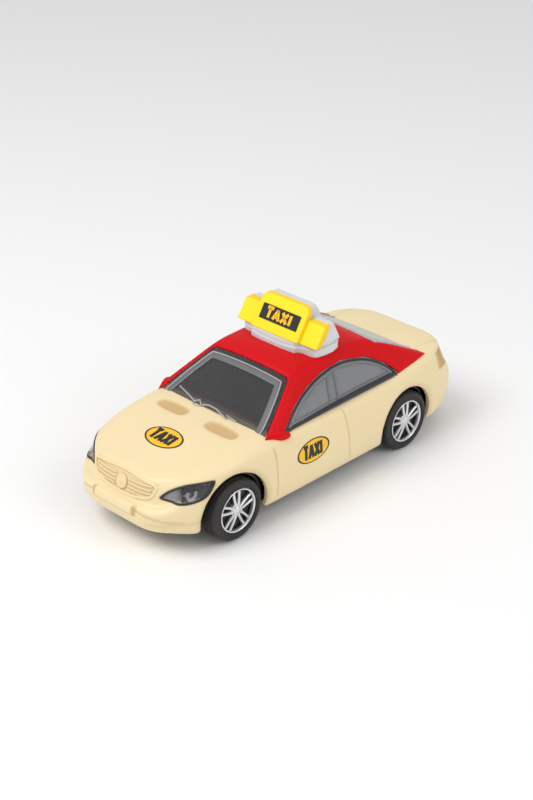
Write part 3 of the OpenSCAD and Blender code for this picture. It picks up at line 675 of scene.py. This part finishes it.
cover_tint = smoked("smoked lamp cover", (0.98, 0.98, 0.98), 0.03, 1.0, 0.2)
# The bowl's near-black deep colour is painted shade, laid over the silver by the bowl's point
# attribute.
silvered = with_painted_shade("silvered bowl", (0.92, 0.92, 0.93), (0.012, 0.012, 0.013), 0.25, 0.5, 0.03)
surround_black = moulded("black surround", (0.012, 0.012, 0.013), (0.03, 0.029, 0.029), 0.35)
for side, hand in hands:
    skin_p, skin_n = on_corner(lamp_grid[..., 0], lamp_grid[..., 1], side)
    edge = from_outline(lamp_grid[..., 0], lamp_grid[..., 1], lamp)
    crown = -0.12 - 0.12 * ease(-0.8, 0, edge)
    cover = joined("headlamp_cover_" + hand, [patch(
        skin_p + skin_n * crown[..., None], skin_p - skin_n * cover_back)])
    place(cover, cover_tint, "car", "lamp_lens", "headlamp_lens_" + hand)
    depth = np.full(edge.shape, 1.0)
    for at, size in ((-28.2, 1.9), (-22.9, 2.5)):
        r = np.hypot(lamp_grid[..., 0] - at, lamp_grid[..., 1] - 19.9 - 0.1 * (at + 25)) / size
        depth = depth + 0.95 * np.clip(1 - r ** 2, 0, 1) - 0.22 * np.exp(-((r - 1.08) / 0.1) ** 2)
    depth = np.clip(depth - 0.2 * ease(-0.7, -0.2, edge), 0.86, 1.95)
    bowl = mesh_object("headlamp_bowl_shell_" + hand, *patch(
        skin_p - skin_n * depth[..., None], skin_p - skin_n * bowl_back))
    # Painted light on the bowl: mostly silver at the end nearest the middle of the car and along its
    # foot, painted shade over the rest, and a painted highlight in a ring over the lower part of the
    # outer dish.
    dish = np.hypot(lamp_grid[..., 0] + 23.6, lamp_grid[..., 1] - 20)
    painted_shade_and_highlight = np.clip(0.25 + 0.8 * ease(-28.8, -26.2, lamp_grid[..., 0])
                   - 0.95 * np.exp(-((dish - 1.5) / 0.45) ** 2) * (lamp_grid[..., 1] < 20.6)
                   - 0.5 * ease(18.8, 18.0, lamp_grid[..., 1]), 0, 1)
    point_values(bowl, "painted_shade", np.tile(painted_shade_and_highlight.ravel(), 2))
    weld(bowl, 50)
    place(bowl, silvered, "car", "lamp_bowl", "headlamp_bowl_" + hand)
    ring = lamp_mid + (lamp_loop - lamp_mid) * 0.965
    rim_p, rim_n = on_corner(ring[:, 0], ring[:, 1], side)
    brow = joined("headlamp_surround_" + hand, [bead(rim_p - rim_n * 0.15, rim_n, 0.7, 0.22, True)])
    place(brow, surround_black, "car", "black_plastic")


# ---- Roof and door mirrors ---------------------------------------------------------------
# One red plastic moulding: the roof panel, the pillars down to the belt line and a small
# mirror housing at the foot of each front pillar. A skirt inside plugs it into the body.
roof_z = 41.6
cab_foot = [(31, 21), (28, 22.9), (24, 24.1), (8, 24.4), (-18, 24.4), (-32, 23.9), (-42, 22.9),
            (-49.4, 21.6), (-49.6, 15)]
screen_half = [(32, 22.9), (26.4, 22.8), (18, 19.6), (10.2, 16.2), (9, 14.8)]
back_half = [(-27, 15.6), (-28, 17.2), (-47.2, 18.2), (-53, 18)]
side_glass = [(20.4, 25), (19.6, 27.9), (12, 32.4), (5, 35.2), (-3, 37), (-12, 37.6), (-22, 35.7),
              (-28.6, 32), (-32.4, 28.4), (-33, 25)]


def both_sides(half):
    """Closed outline from its left half and the mirror image of that."""
    return list(half) + [(x, -y) for x, y in half[::-1]]


def smooth_min(a, b, k):
    """The lower of a and b, with a rounded meeting k wide."""
    h = np.clip(0.5 + 0.5 * (b - a) / k, 0, 1)
    return b + (a - b) * h - k * h * (1 - h)


def cab_z(x, y, d=0.0):
    """Height of the cabin, d below its skin: the lowest of a crowned roof and of the leaning
    planes of the windscreen, the rear window and the sides, meeting in rounded edges."""
    roof = roof_z - 0.0024 * (x + 9) ** 2 - 0.0042 * y * y - d
    screen = 27.6 + (28.6 - 0.0045 * y * y - x) * 0.61 - 1.15 * d
    rear = 28.8 + (x + 48.6 - 0.003 * y * y) * 0.5 - 1.1 * d
    side = 28.2 + (24.2 - 1.6 * ease(-25, -50, x) - np.abs(y)) * 1.5 - 1.8 * d
    return smooth_min(smooth_min(smooth_min(screen, roof, 2), rear, 2), side, 1.6)


def slab(outer, inner):
    """Closed slab between two equal rectangular grids."""
    rows, cols = outer.shape[:2]
    first = rows * cols
    faces = grid_faces(rows, cols) + grid_faces(rows, cols, False, first, True)
    i, j = np.arange(rows - 1), np.arange(cols - 1)
    for a, b in ((i * cols, (i + 1) * cols), ((rows - 1) * cols + j, (rows - 1) * cols + j + 1),
                 ((i + 1) * cols + cols - 1, i * cols + cols - 1), (j + 1, j)):
        faces += np.stack((a, b, b + first, a + first), -1).tolist()
    return np.concatenate((outer.reshape(-1, 3), inner.reshape(-1, 3))), faces


def on_side(x, z, d=0.0):
    """Left y at which the cabin, d below its skin, stands z high: found by halving."""
    x, z = np.broadcast_arrays(np.asarray(x, float), z)
    low, high = np.full(x.shape, 2.0), np.full(x.shape, 30.0)
    for _ in range(40):
        mid = (low + high) / 2
        above = cab_z(x, mid, d) > z
        low, high = np.where(above, mid, low), np.where(above, high, mid)
    return low


x, y = np.meshgrid(np.arange(-54.6, 32.6, 0.6), np.linspace(-26.4, 26.4, 99), indexing="ij")
cut_edge = np.minimum(
    np.minimum(np.abs(from_outline(x, y, both_sides(screen_half))),
               np.abs(from_outline(x, y, both_sides(back_half)))),
    np.where(np.abs(y) > 12, np.abs(from_outline(x, cab_z(x, y), side_glass)), 9))
rolled = 0.35 * ease(0.9, 0.0, cut_edge) ** 2
sheet_top = np.stack((x, y, cab_z(x, y, rolled)), -1)
sheet_low = np.stack((x, y, cab_z(x, y, wall)), -1)
roof = weld(mesh_object("roof_panel", *slab(sheet_top, sheet_low)))
carve(roof, [plan_prism(both_sides(cab_foot), 10, 50)], "INTERSECT")
core_th = np.linspace(0, 2 * np.pi, 240, endpoint=False)
core_skin = body_skin(core_th[None, :], np.concatenate((np.linspace(0, 1, 24),
                                                        np.linspace(1, 2, 12)[1:]))[:, None])
core = mesh_object("cutter", core_skin, grid_faces(len(core_skin), 240, True)
                   + [list(range(240))[::-1]])
cutters = [weld(core)] + [plan_prism(both_sides(half), 0, 80) for half in (screen_half, back_half)]
cutters += [side_prism(side_glass, side, 10, 20) for side in (1, -1)]
carve(roof, cutters, smooth=38)
roof_red = moulded("red plastic", (0.58, 0.0015, 0.004), (0.70, 0.002, 0.006), 0.42, 0.35, 0.03,
                   specular_ior_level=0.15)
place(roof, roof_red, "car", "red_plastic", "roof_shell")

plug = np.array(cab_hole, float)
plug_loop = trail(plug * (0.993, 0.994), 1.2, True)
plug_in = plug_loop * (0.965, 0.94)
plug_rows = [(plug_loop, 25.4), (plug_loop, 28.2), (plug_in, 28.2), (plug_in, 25.4)]
plug_grid = np.array([np.column_stack((q, np.full(len(q), z))) for q, z in plug_rows + plug_rows[:1]])
skirt = joined("roof_skirt", [(plug_grid.reshape(-1, 3), grid_faces(5, len(plug_loop), True))])
place(skirt, roof_red, "car", "red_plastic")


def mirror_housing(side):
    """Rounded housing drawn forwards into a foot: ellipses carried along a short line, their
    size growing as a square root from the foot and closing in a quarter turn behind."""
    t = np.linspace(0, 1, 22)[:, None]
    a = np.linspace(0, 2 * np.pi, 28, endpoint=False)[None, :]
    foot, tail = np.array((26.2, 23.0, 27.7)), np.array((18.3, 25.4, 26.5))
    centre = foot + (tail - foot) * t[..., None]
    size = np.sqrt(np.clip(1 - (2 * t - 1) ** 2, 0, 1)) * (0.55 + 0.45 * ease(0, 0.6, t))
    p = centre + np.stack((0.25 * size * np.sin(a), 1.35 * size * np.cos(a),
                           1.85 * size * np.sin(a)), -1)
    return p * (1, side, 1), grid_faces(22, 28, True)


for side, hand in hands:
    place(joined("door_mirror_" + hand, [mirror_housing(side)]), roof_red, "car", "red_plastic")


# ---- Windows -----------------------------------------------------------------------------
# Smoked clear plastic panes set a little below the roof's edges, with raised borders and
# moulded wipers; the side panes carry a black sill band and a pair of centre bars.
pane_top, pane_low = 0.42, 1.45
bead_depth = 0.3


def pane(outline, surface, reach=0.3):
    """Slab over an outline, rows running from its centre to its rim and close together near
    it. surface gives the points for the outline's two coordinates at depth d."""
    loop = trail(outline, 0.55, True)
    mid = loop.mean(0)
    q = np.concatenate((np.linspace(0, 1 - reach, 14), 1 - np.linspace(reach, 0, 22)[1:]))
    grid = mid + (loop - mid) * q[:, None, None]
    u, v = grid[..., 0], grid[..., 1]
    edge = -from_outline(u, v, outline)
    bump = 0.3 * np.exp(-((edge - 1.5) / 0.32) ** 2) + 0.12 * ease(1.4, 0.9, edge)
    return patch(surface(u, v, pane_top - bump), surface(u, v, pane_low))


def over(u, v, d):
    """Points of the cabin above the plan place (u, v), d below its skin."""
    return points_at(u, v, cab_z(u, v, d))


def beside(side):
    """Points of the cabin's side at (u, v) along X and Z, d below its skin."""
    def at(u, v, d):
        y = np.minimum(on_side(u, v, d), 24.0 - 0.5 * d)
        return points_at(u, side * y, v)
    return at


screen = both_sides([(31.4, 20.6), (26.6, 22.4), (18, 19.5), (10.3, 16.1), (9.4, 14.6)])
rear_pane = both_sides([(-27.4, 15.3), (-28.2, 17), (-47, 18), (-49.3, 16.5)])
smoke_dark = smoked("smoked window", (0.34, 0.34, 0.36))
smoke_pale = smoked("pale smoked window", (0.42, 0.43, 0.45), 0.25, 0.45)
# The rear pane is much paler than the windscreen's smoke of the same glazing: a painted reflection on
# the low, sloping pane.
rear_smoke_painted_glare = smoked("rear window", (0.74, 0.75, 0.77), 0.3, 0.3)
pane_grey = moulded("grey pane frame", (0.11, 0.11, 0.115), (0.2, 0.2, 0.205), 0.3)
pale_grey = moulded("pale pane bead", (0.34, 0.34, 0.345), (0.50, 0.50, 0.505), 0.3)
for name, outline, tint, node in (("windscreen_pane", screen, smoke_dark, "windscreen"),
                                  ("rear_pane", rear_pane, rear_smoke_painted_glare, "rear_window")):
    place(joined(name, [pane(np.array(outline, float), over)], 60), tint, "car", "smoked_glazing", node)
side_outline = np.array([(20.1, 25.6), (19.4, 28), (12, 32.3), (5, 35.05), (-3, 36.85),
                         (-12, 37.45), (-21.9, 35.55), (-28.3, 31.9), (-32, 28.3), (-32.5, 25.6)])


def cab_normal(p):
    """Outward normal of the cabin at points on it, from the slopes of its height."""
    x, y, h = p[..., 0], p[..., 1], 0.02
    sx = (cab_z(x + h, y) - cab_z(x - h, y)) / (2 * h)
    sy = (cab_z(x, y + h) - cab_z(x, y - h)) / (2 * h)
    n = np.stack((-sx, -sy, np.ones_like(sx)), -1)
    return n / np.linalg.norm(n, axis=-1, keepdims=True)


def cab_bead(points, width, height, closed=False):
    """Bead over the cabin along a line of plan places."""
    q = trail(points, 0.4, closed)
    p = over(q[:, 0], q[:, 1], bead_depth)
    return bead(p, cab_normal(p), width, height, closed)


def inset(outline, by):
    """Outline moved inwards: every side shifted along its normal and the corners met again."""
    q = np.asarray(outline, float)
    area = np.sum(q[:, 0] * np.roll(q[:, 1], -1) - np.roll(q[:, 0], -1) * q[:, 1])
    d = np.roll(q, -1, 0) - q
    n = np.stack((-d[:, 1], d[:, 0]), -1) / np.linalg.norm(d, axis=1, keepdims=True) * np.sign(area)
    a, da, b = np.roll(q, 1, 0) + np.roll(n, 1, 0) * by, np.roll(d, 1, 0), q + n * by
    cross = da[:, 0] * d[:, 1] - da[:, 1] * d[:, 0]
    t = ((b - a)[:, 0] * d[:, 1] - (b - a)[:, 1] * d[:, 0]) / np.where(
        np.abs(cross) < 1e-9, 1e-9, cross)
    return a + da * t[:, None]


screen_bead = joined("windscreen_bead", [
    cab_bead(rounded(inset(screen, 1.5), 2), 0.5, 0.35, True)])
place(screen_bead, pale_grey, "car", "smoked_glazing")
screen_band = joined("windscreen_band", [
    cab_bead(rounded(inset(screen, 2.6), 2), 1.9, 0.14, True)])
place(screen_band, pane_grey, "car", "smoked_glazing")
rear_bead = joined("rear_pane_bead", [cab_bead(rounded(inset(rear_pane, 1.5), 2), 0.6, 0.3, True)])
place(rear_bead, pale_grey, "car", "smoked_glazing")
wiper_lines = [
    [(23.8, -16.6), (25.3, -10.8), (26.6, -6.4)],
    [(26.7, -7.6), (25.5, -5.6), (26.9, -3.8), (27.6, -5.9), (26.7, -7.6)],
    [(26.6, -4.0), (25.8, -1.4), (25.9, 1.8), (26.9, 6.2), (27.4, 8.0)],
    [(26.2, 6.2), (26.5, 11.0)]]
wipers = joined("windscreen_wipers", [cab_bead(line, 0.6, 0.6) for line in wiper_lines])
place(wipers, pale_grey, "car", "smoked_glazing")

for side, hand in hands:
    wall_at = beside(side)
    place(joined("side_pane_" + hand, [pane(side_outline, wall_at, 0.35)], 60), smoke_pale, "car",
          "smoked_glazing", "side_window_" + hand)

    def side_bead(points, width, height, closed=False):
        """Bead on the cabin's side along a line of (x, z) places."""
        q = trail(points, 0.4, closed)
        p = wall_at(q[:, 0], q[:, 1], bead_depth)
        return bead(p, cab_normal(p), width, height, closed)

    rail = inset(side_outline, 0.45)
    trim = [side_bead(rounded(rail, 2), 0.8, 0.28, True),
            side_bead([(19.0, 27.3), (5, 27.7), (-14, 28.2), (-31.2, 28.2)], 1.5, 0.3)]
    place(joined("side_frame_" + hand, trim), surround_black, "car", "smoked_glazing")
    bars = [side_bead([(top, 36.0), (foot, 28.4)], 0.6, 0.3)
            for top, foot in ((-4.4, -0.9), (-7.4, -4.6))]
    bars.append(side_bead(rounded(inset(side_outline, 1.5), 2), 0.5, 0.22, True))
    bars.append(side_bead([(17.4, 28.6), (5, 28.9), (-14, 29.4), (-29.4, 29.4)], 0.4, 0.25))
    place(joined("side_bars_" + hand, bars), pane_grey, "car", "smoked_glazing")


# ---- Roof sign ---------------------------------------------------------------------------
# A lamp-like block of clear-white plastic on a stepped plinth, with a yellow front moulding:
# a middle tablet that stands proud of a wing on each side.
sign_foot = 44.2
sign_top = corners("sign_face")[1][2]


def tablet(front, back, foot, top, half, round_by, soft=0.45):
    """Block between two leaning faces. Its outline is a rectangle with round top corners; rows
    run from the middle of the front face out to its edge, over a quarter-round edge drawn in
    by soft, along the depth and back to the middle of the rear face."""
    a = np.linspace(0, np.pi / 2, 9)
    right = np.column_stack((half - round_by + round_by * np.cos(a),
                             top - round_by + round_by * np.sin(a)))
    corner = np.concatenate(([(-half, foot), (half, foot)], right, right[::-1] * (-1, 1)))
    loop = trail(corner, 0.5, True)
    mid = np.array((0, (foot + top) / 2))
    size = np.array((half, (top - foot) / 2))
    e = np.linspace(0, np.pi / 2, 5)
    drawn = np.concatenate((np.linspace(size[1], soft, 8), soft * (1 - np.sin(e))[1:],
                            soft * (1 - np.cos(e)), np.linspace(soft, size[1], 8)[1:]))
    deep = np.concatenate((np.zeros(8), soft * (1 - np.cos(e))[1:]))
    deep = np.concatenate((deep, -soft * (1 - np.sin(e)), np.zeros(7)))
    rear = np.concatenate((np.zeros(12), np.ones(12)))
    k = np.clip(1 - drawn[:, None] / size, 0, 1)
    q = mid + (loop - mid)[None] * k[:, None, :]
    rise = (q[..., 1] - sign_foot) / (top - sign_foot)
    x_front = front[0] + (front[1] - front[0]) * rise
    x_back = back[0] + (back[1] - back[0]) * rise
    x = np.where(rear[:, None] > 0, x_back, x_front) - deep[:, None]
    return np.stack((x, q[..., 0], q[..., 1]), -1).reshape(-1, 3), grid_faces(24, len(loop), True)


mid_half, wing_half = 9.9, 16.9
# Yellow with painted shade: the orange deep colour darkens the moulding where its painted-shade
# attribute is high.
yellow = with_painted_shade("yellow plastic", (1.0, 0.83, 0.0), (0.96, 0.55, 0.0), 0.38, 0.4, 0.04,
                       coat_weight=0.15, coat_roughness=0.1)
clear_white = moulded("clear white plastic", (0.52, 0.54, 0.56), (0.78, 0.79, 0.80), 0.2, 1.6, 0.03,
                      coat_weight=0.4, coat_roughness=0.05)
fronts = [tablet((-0.4, -6.7), (-3.5, -8.4), sign_foot - 0.02, sign_top - 0.05, mid_half, 2.6),
          tablet((-1.7, -5.9), (-4.5, -8.8), sign_foot - 0.3, 50.4, wing_half, 1.2)]
sign_front = mesh_object("sign_front", *stacked(fronts))
# Painted shade on the yellow moulding: the rounded edges and the walls round each tablet's outline are
# darkened towards orange; the front and back faces stay plain.
flank_painted_shade = np.concatenate([np.repeat(np.where((np.arange(24) > 8) & (np.arange(24) < 17), 0.75, 0.0)
                                  + 0.3 * (np.arange(24) == 8), len(p) // 24) for p, _ in fronts])
point_values(sign_front, "painted_shade", flank_painted_shade)
place(weld(sign_front, 50), yellow, "car", "sign_yellow", "sign_face")
shells = [tablet((-1.9, -7.9), (-14.4, -10.4), sign_foot - 0.02, sign_top, 9.2, 2.6),
          tablet((-3.9, -8.1), (-13.4, -10.2), sign_foot - 0.02, 50.6, 16.1, 1.2)]
place(joined("sign_shell", shells), clear_white, "car", "sign_clear", "sign_housing")

plinth = both_sides([(0.2, 8.4), (-2.2, 9.6), (-2.6, 14.2), (-4.4, 15.2), (-12.4, 15.4),
                     (-15.2, 13.0)])
plinth_loop = trail(rounded(plinth, 1), 0.5, True)
plinth_mid = np.array((-7.5, 0))


def plinth_row(grow, z):
    """One ring of the plinth: its outline grown from the middle, at height z, or on the roof
    where z is None."""
    d = plinth_loop - plinth_mid
    q = plinth_loop + d / np.linalg.norm(d, axis=1, keepdims=True) * grow
    height = cab_z(q[:, 0], q[:, 1]) - 0.25 if z is None else np.full(len(q), z)
    return np.column_stack((q, height))


steps = [(0.45, None), (0.5, 42.4), (0.42, 42.8), (0.2, 43.0), (0.0, 43.0), (0.0, 43.9),
         (-0.1, 44.15), (-0.35, sign_foot)]
rows = [plinth_row(g, z) for g, z in steps]
shrink = np.linspace(0.9, 0, 6)
lid_mid = np.array((*plinth_mid, sign_foot))
rows += [lid_mid + (rows[-1] - lid_mid) * k for k in shrink]
low = [over(*(plinth_mid + (rows[0][:, :2] - plinth_mid) * k).T, 0.25) for k in shrink[::-1]]
plinth_grid = np.array(low + rows)
place(joined("sign_plinth", [(plinth_grid.reshape(-1, 3),
                              grid_faces(len(plinth_grid), len(plinth_loop), True))]),
      clear_white, "car", "sign_clear", "sign_base")


# ---- Printed labels ----------------------------------------------------------------------
# Paper stickers: golden ovals with a thin black border on the bonnet and the front doors,
# and a black one on the sign. Each has the plain word for a hire car in block strokes.
def stroke(a, b, width):
    """Grid of plan places over a straight stroke with square ends."""
    a, b = np.array(a, float), np.array(b, float)
    d = (b - a) / np.linalg.norm(b - a)
    t, w = np.meshgrid(np.linspace(0, 1, 6), np.linspace(-0.5, 0.5, 3), indexing="ij")
    return a + (b - a) * t[..., None] + np.array((-d[1], d[0])) * (w * width)[..., None]


def word(height, pitch):
    """Strokes of the word's four letters, centred, from lines drawn on a unit cell."""
    letters = [[((-0.42, 1), (0.42, 1)), ((0, 1), (0, 0))],
               [((-0.4, 0), (0, 1)), ((0, 1), (0.4, 0)), ((-0.24, 0.3), (0.24, 0.3))],
               [((-0.38, 0), (0.38, 1)), ((-0.38, 1), (0.38, 0))],
               [((0, 0), (0, 1))]]
    places = np.array((-1.32, -0.38, 0.6, 1.32)) * pitch
    return [[(x * 0.9 * pitch + at, (z - 0.5) * height) for x, z in line]
            for at, letter in zip(places, letters) for line in letter]


def label(name, lay, half, letter_height, pitch, weight, oval, ink_letters, node, slot_name, body_up):
    """Sticker laid by lay(u, v, h): an oval or rectangular disc and the word's strokes on it.
    The ink attribute is 1 where the print is black."""
    if oval:
        loop = circle(1, 72) * half
    else:
        loop = trail([(-half[0], -half[1]), (half[0], -half[1]), half, (-half[0], half[1])], 0.4, True)
    q = np.concatenate((np.linspace(0, 0.88, 14), [0.905, 0.91, 0.95, 1.0]))
    grid = loop * q[:, None, None]
    parts = [patch(lay(grid[..., 0], grid[..., 1], body_up), lay(grid[..., 0], grid[..., 1], 0.0))]
    edge_ink = np.where(q > 0.907, 1.0, 0.0) if oval else np.ones(len(q))
    ink = [np.tile(np.repeat(edge_ink, len(loop)), 2)]
    for a, b in word(letter_height, pitch):
        s = stroke(a, b, weight)
        parts.append(slab(lay(s[..., 0], s[..., 1], body_up + 0.07), lay(s[..., 0], s[..., 1], 0.02)))
        ink.append(np.full(s[..., 0].size * 2, float(ink_letters)))
    obj = mesh_object(name, *stacked(parts))
    point_values(obj, "ink", np.concatenate(ink))
    weld(obj, 30)
    place(obj, label_print, "car", slot_name, node)


label_print = moulded("label print", (0.93, 0.50, 0.008), (1.0, 0.58, 0.012), 0.42, 0.25, 0.05,
                      "ink", (0.012, 0.011, 0.01))


def on_bonnet(u, v, h):
    """Bonnet places: u to the reader's right, which is the car's left, and v to the rear."""
    x, y = 45.8 - v, u
    return points_at(x, y, deck_z(x, y) + h)


def on_door(side):
    """Door places: u towards the reader's right and v up."""
    def at(u, v, h):
        goal = points_at(9.8 - side * u, 18.2 + v)
        p, n = seek(lambda p: p[..., ::2], goal, side_turn, goal[..., 0] / half_len, 0.5)
        return (p + n * np.asarray(h)[..., None]) * (1, side, 1)
    return at


def side_turn(v):
    """Angle th at which the left side's widest outline stands v half lengths ahead."""
    return np.arccos(np.clip(np.sign(v) * np.abs(v) ** (np.where(v > 0, front_n, rear_n) / 2), -1, 1))


def on_sign(u, v, h):
    """Places on the middle tablet's leaning face, v counted along it from the label's middle."""
    lean = np.arctan2(6.3, sign_top - sign_foot)
    along, out = np.array((-np.sin(lean), 0, np.cos(lean))), np.array((np.cos(lean), 0, np.sin(lean)))
    base = np.array((-0.35, 0, sign_foot)) + along * 5.85
    u, v, h = np.broadcast_arrays(u, v, np.asarray(h, float))
    return base + np.stack((0 * u, u, 0 * u), -1) + along * v[..., None] + out * h[..., None]


label("bonnet_sticker", on_bonnet, (7.0, 4.5), 4.4, 2.75, 1.2, True, 1, "bonnet_label",
      "oval_label_print", 0.06)
for side, hand in hands:
    label("door_sticker_" + hand, on_door(side), (7.0, 3.8), 4.3, 2.5, 1.1, True, 1,
          "door_label_" + hand, "oval_label_print", 0.06)
label("sign_sticker", on_sign, (7.85, 2.45), 3.2, 3.3, 1.05, False, 0, "sign_label",
      "sign_label_print", 0.14)


# ---- Wheels ------------------------------------------------------------------------------
# Black rubber tyres pushed over black plastic cores, each closed by a silvered rim cap with
# five pairs of spokes. Each pair of wheels is fixed to its axle and turns with it.
tyre_high = corners("tyre_front_left")[1]
tyre_r, tyre_out = axle_z, tyre_high[1]
rim_r, core_face = 7.3, -2.2
tread_rows = []
for groove in (-5.6, -4.0, -2.4):
    tread_rows += [(tyre_r, groove + 0.32), (tyre_r - 0.3, groove + 0.2),
                   (tyre_r - 0.3, groove - 0.2), (tyre_r, groove - 0.32)][::-1]
shoulder = np.linspace(0, np.pi / 2, 7)
outer_side = [(tyre_r - 1.5 + 1.5 * np.cos(a), -1.5 + 1.35 * np.sin(a)) for a in shoulder]
inner_side = [(tyre_r - 1.5 + 1.5 * np.cos(a), -6.5 - 1.45 * np.sin(a)) for a in shoulder[::-1]]
bead_side = [(8.15, -0.02), (8.0, -0.22), (7.75, -0.24), (7.6, -0.1), (7.42, -0.12), (7.32, -0.35),
             (rim_r, -0.8)]
tyre_profile = ([(rim_r, -8), (7.8, -8)] + inner_side + tread_rows + outer_side + bead_side)
tyre_profile.append(tyre_profile[0])
rubber = moulded("tyre rubber", (0.016, 0.014, 0.014), (0.032, 0.027, 0.027), 0.62, 0.25, 0.25)
core_black = moulded("black plastic", (0.014, 0.014, 0.015), (0.028, 0.027, 0.028), 0.4, 0.3, 0.1)
silver = moulded("silver rim finish", (0.66, 0.67, 0.69), (0.82, 0.83, 0.85), 0.2, 0.4, 0.02,
                 metallic=0.75)


def spoke(angle, inner_at, outer_at, width):
    """Bead along a spoke in the wheel's plane, slightly dished."""
    t = np.linspace(0, 1, 16)
    r = 1.4 + (6.9 - 1.4) * t
    a = angle + inner_at + (outer_at - inner_at) * t
    path = np.column_stack((r * np.cos(a), r * np.sin(a), 1.15 - 0.35 * t))
    return bead(path, np.tile((0.0, 0.0, 1.0), (16, 1)), width, 0.5, False, 12, 0.8)


def wheel_parts():
    """Rim ring, boss, spokes and bolt heads, with the axle along Z and the face up."""
    t = np.linspace(0, 2 * np.pi, 19)
    ring = np.column_stack((6.86 + 0.44 * np.cos(t), 1.05 + 0.85 * np.sin(t)))
    parts = [lathe(ring, (0, 0, 0), 2)]
    dome = [(0, 1.75), (0.5, 1.72), (0.9, 1.6), (1.0, 1.45), (1.5, 1.4), (2.0, 1.25), (2.25, 0.9),
            (2.3, 0.05), (0, 0.05)]
    parts.append(lathe(dome, (0, 0, 0), 2, 1, 40))
    for k in range(5):
        for hand in (-1, 1):
            parts.append(spoke(np.radians(72 * k + 90), hand * 0.30, hand * 0.165, 0.95))
        a = np.radians(72 * k + 54)
        bolt = [(0, 1.75), (0.2, 1.73), (0.3, 1.62), (0.32, 1.2), (0, 1.2)]
        parts.append(lathe(bolt, (1.55 * np.cos(a), 1.55 * np.sin(a), 0), 2, 1, 16))
    return parts


for axle, ax in (("front", front_x), ("rear", rear_x)):
    for side, hand in hands:
        spot = axle + "_" + hand
        centre = (ax, side * tyre_out, axle_z)
        tyre = joined("tyre_tread_" + spot, [lathe(tyre_profile, centre, 1, side)], 35)
        place(tyre, rubber, axle + "_wheels", "tyre_rubber", "tyre_" + spot)
        shapes = []
        for p, f in wheel_parts():
            p = np.column_stack((p[:, 0], side * (p[:, 2] + core_face), p[:, 1])) + centre
            shapes.append((p, f))
        place(joined("rim_spokes_" + spot, shapes, 45), silver, axle + "_wheels", "silver_rim",
              "rim_cap_" + spot)


# ---- Floor, cabin lining and running gear ------------------------------------------------
# The black floor plate with the wheel-arch liners, the plain seats and dashboard, the axles,
# the friction motor in its two-part case, its gears and flywheel, and the screws.
interior_grey = moulded("cabin plastic", (0.03, 0.029, 0.03), (0.06, 0.058, 0.06), 0.5, 0.5, 0.15)
case_black = moulded("case plastic", (0.02, 0.02, 0.021), (0.045, 0.044, 0.045), 0.45, 0.3, 0.12)
nylon = moulded("white nylon", (0.62, 0.60, 0.54), (0.76, 0.74, 0.68), 0.42, 0.3, 0.05)
brass = moulded("turned brass", (0.50, 0.34, 0.11), (0.68, 0.48, 0.18), 0.25, 0.2, 0.06, metallic=1.0)
steel = moulded("bright steel", (0.42, 0.42, 0.43), (0.58, 0.58, 0.59), 0.28, 0.2, 0.08, metallic=1.0)
finishes = {"chassis": core_black, "interior": interior_grey, "motor_case": case_black,
            "wheel_core": core_black, "axle_gear": nylon, "lay_gear": nylon,
            "flywheel_pinion": brass}
for node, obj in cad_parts.items():
    if obj.hide_render:
        continue
    finish = next((mat for start, mat in finishes.items() if node.startswith(start)), steel)
    obj.data.materials.clear()
    obj.data.materials.append(finish)
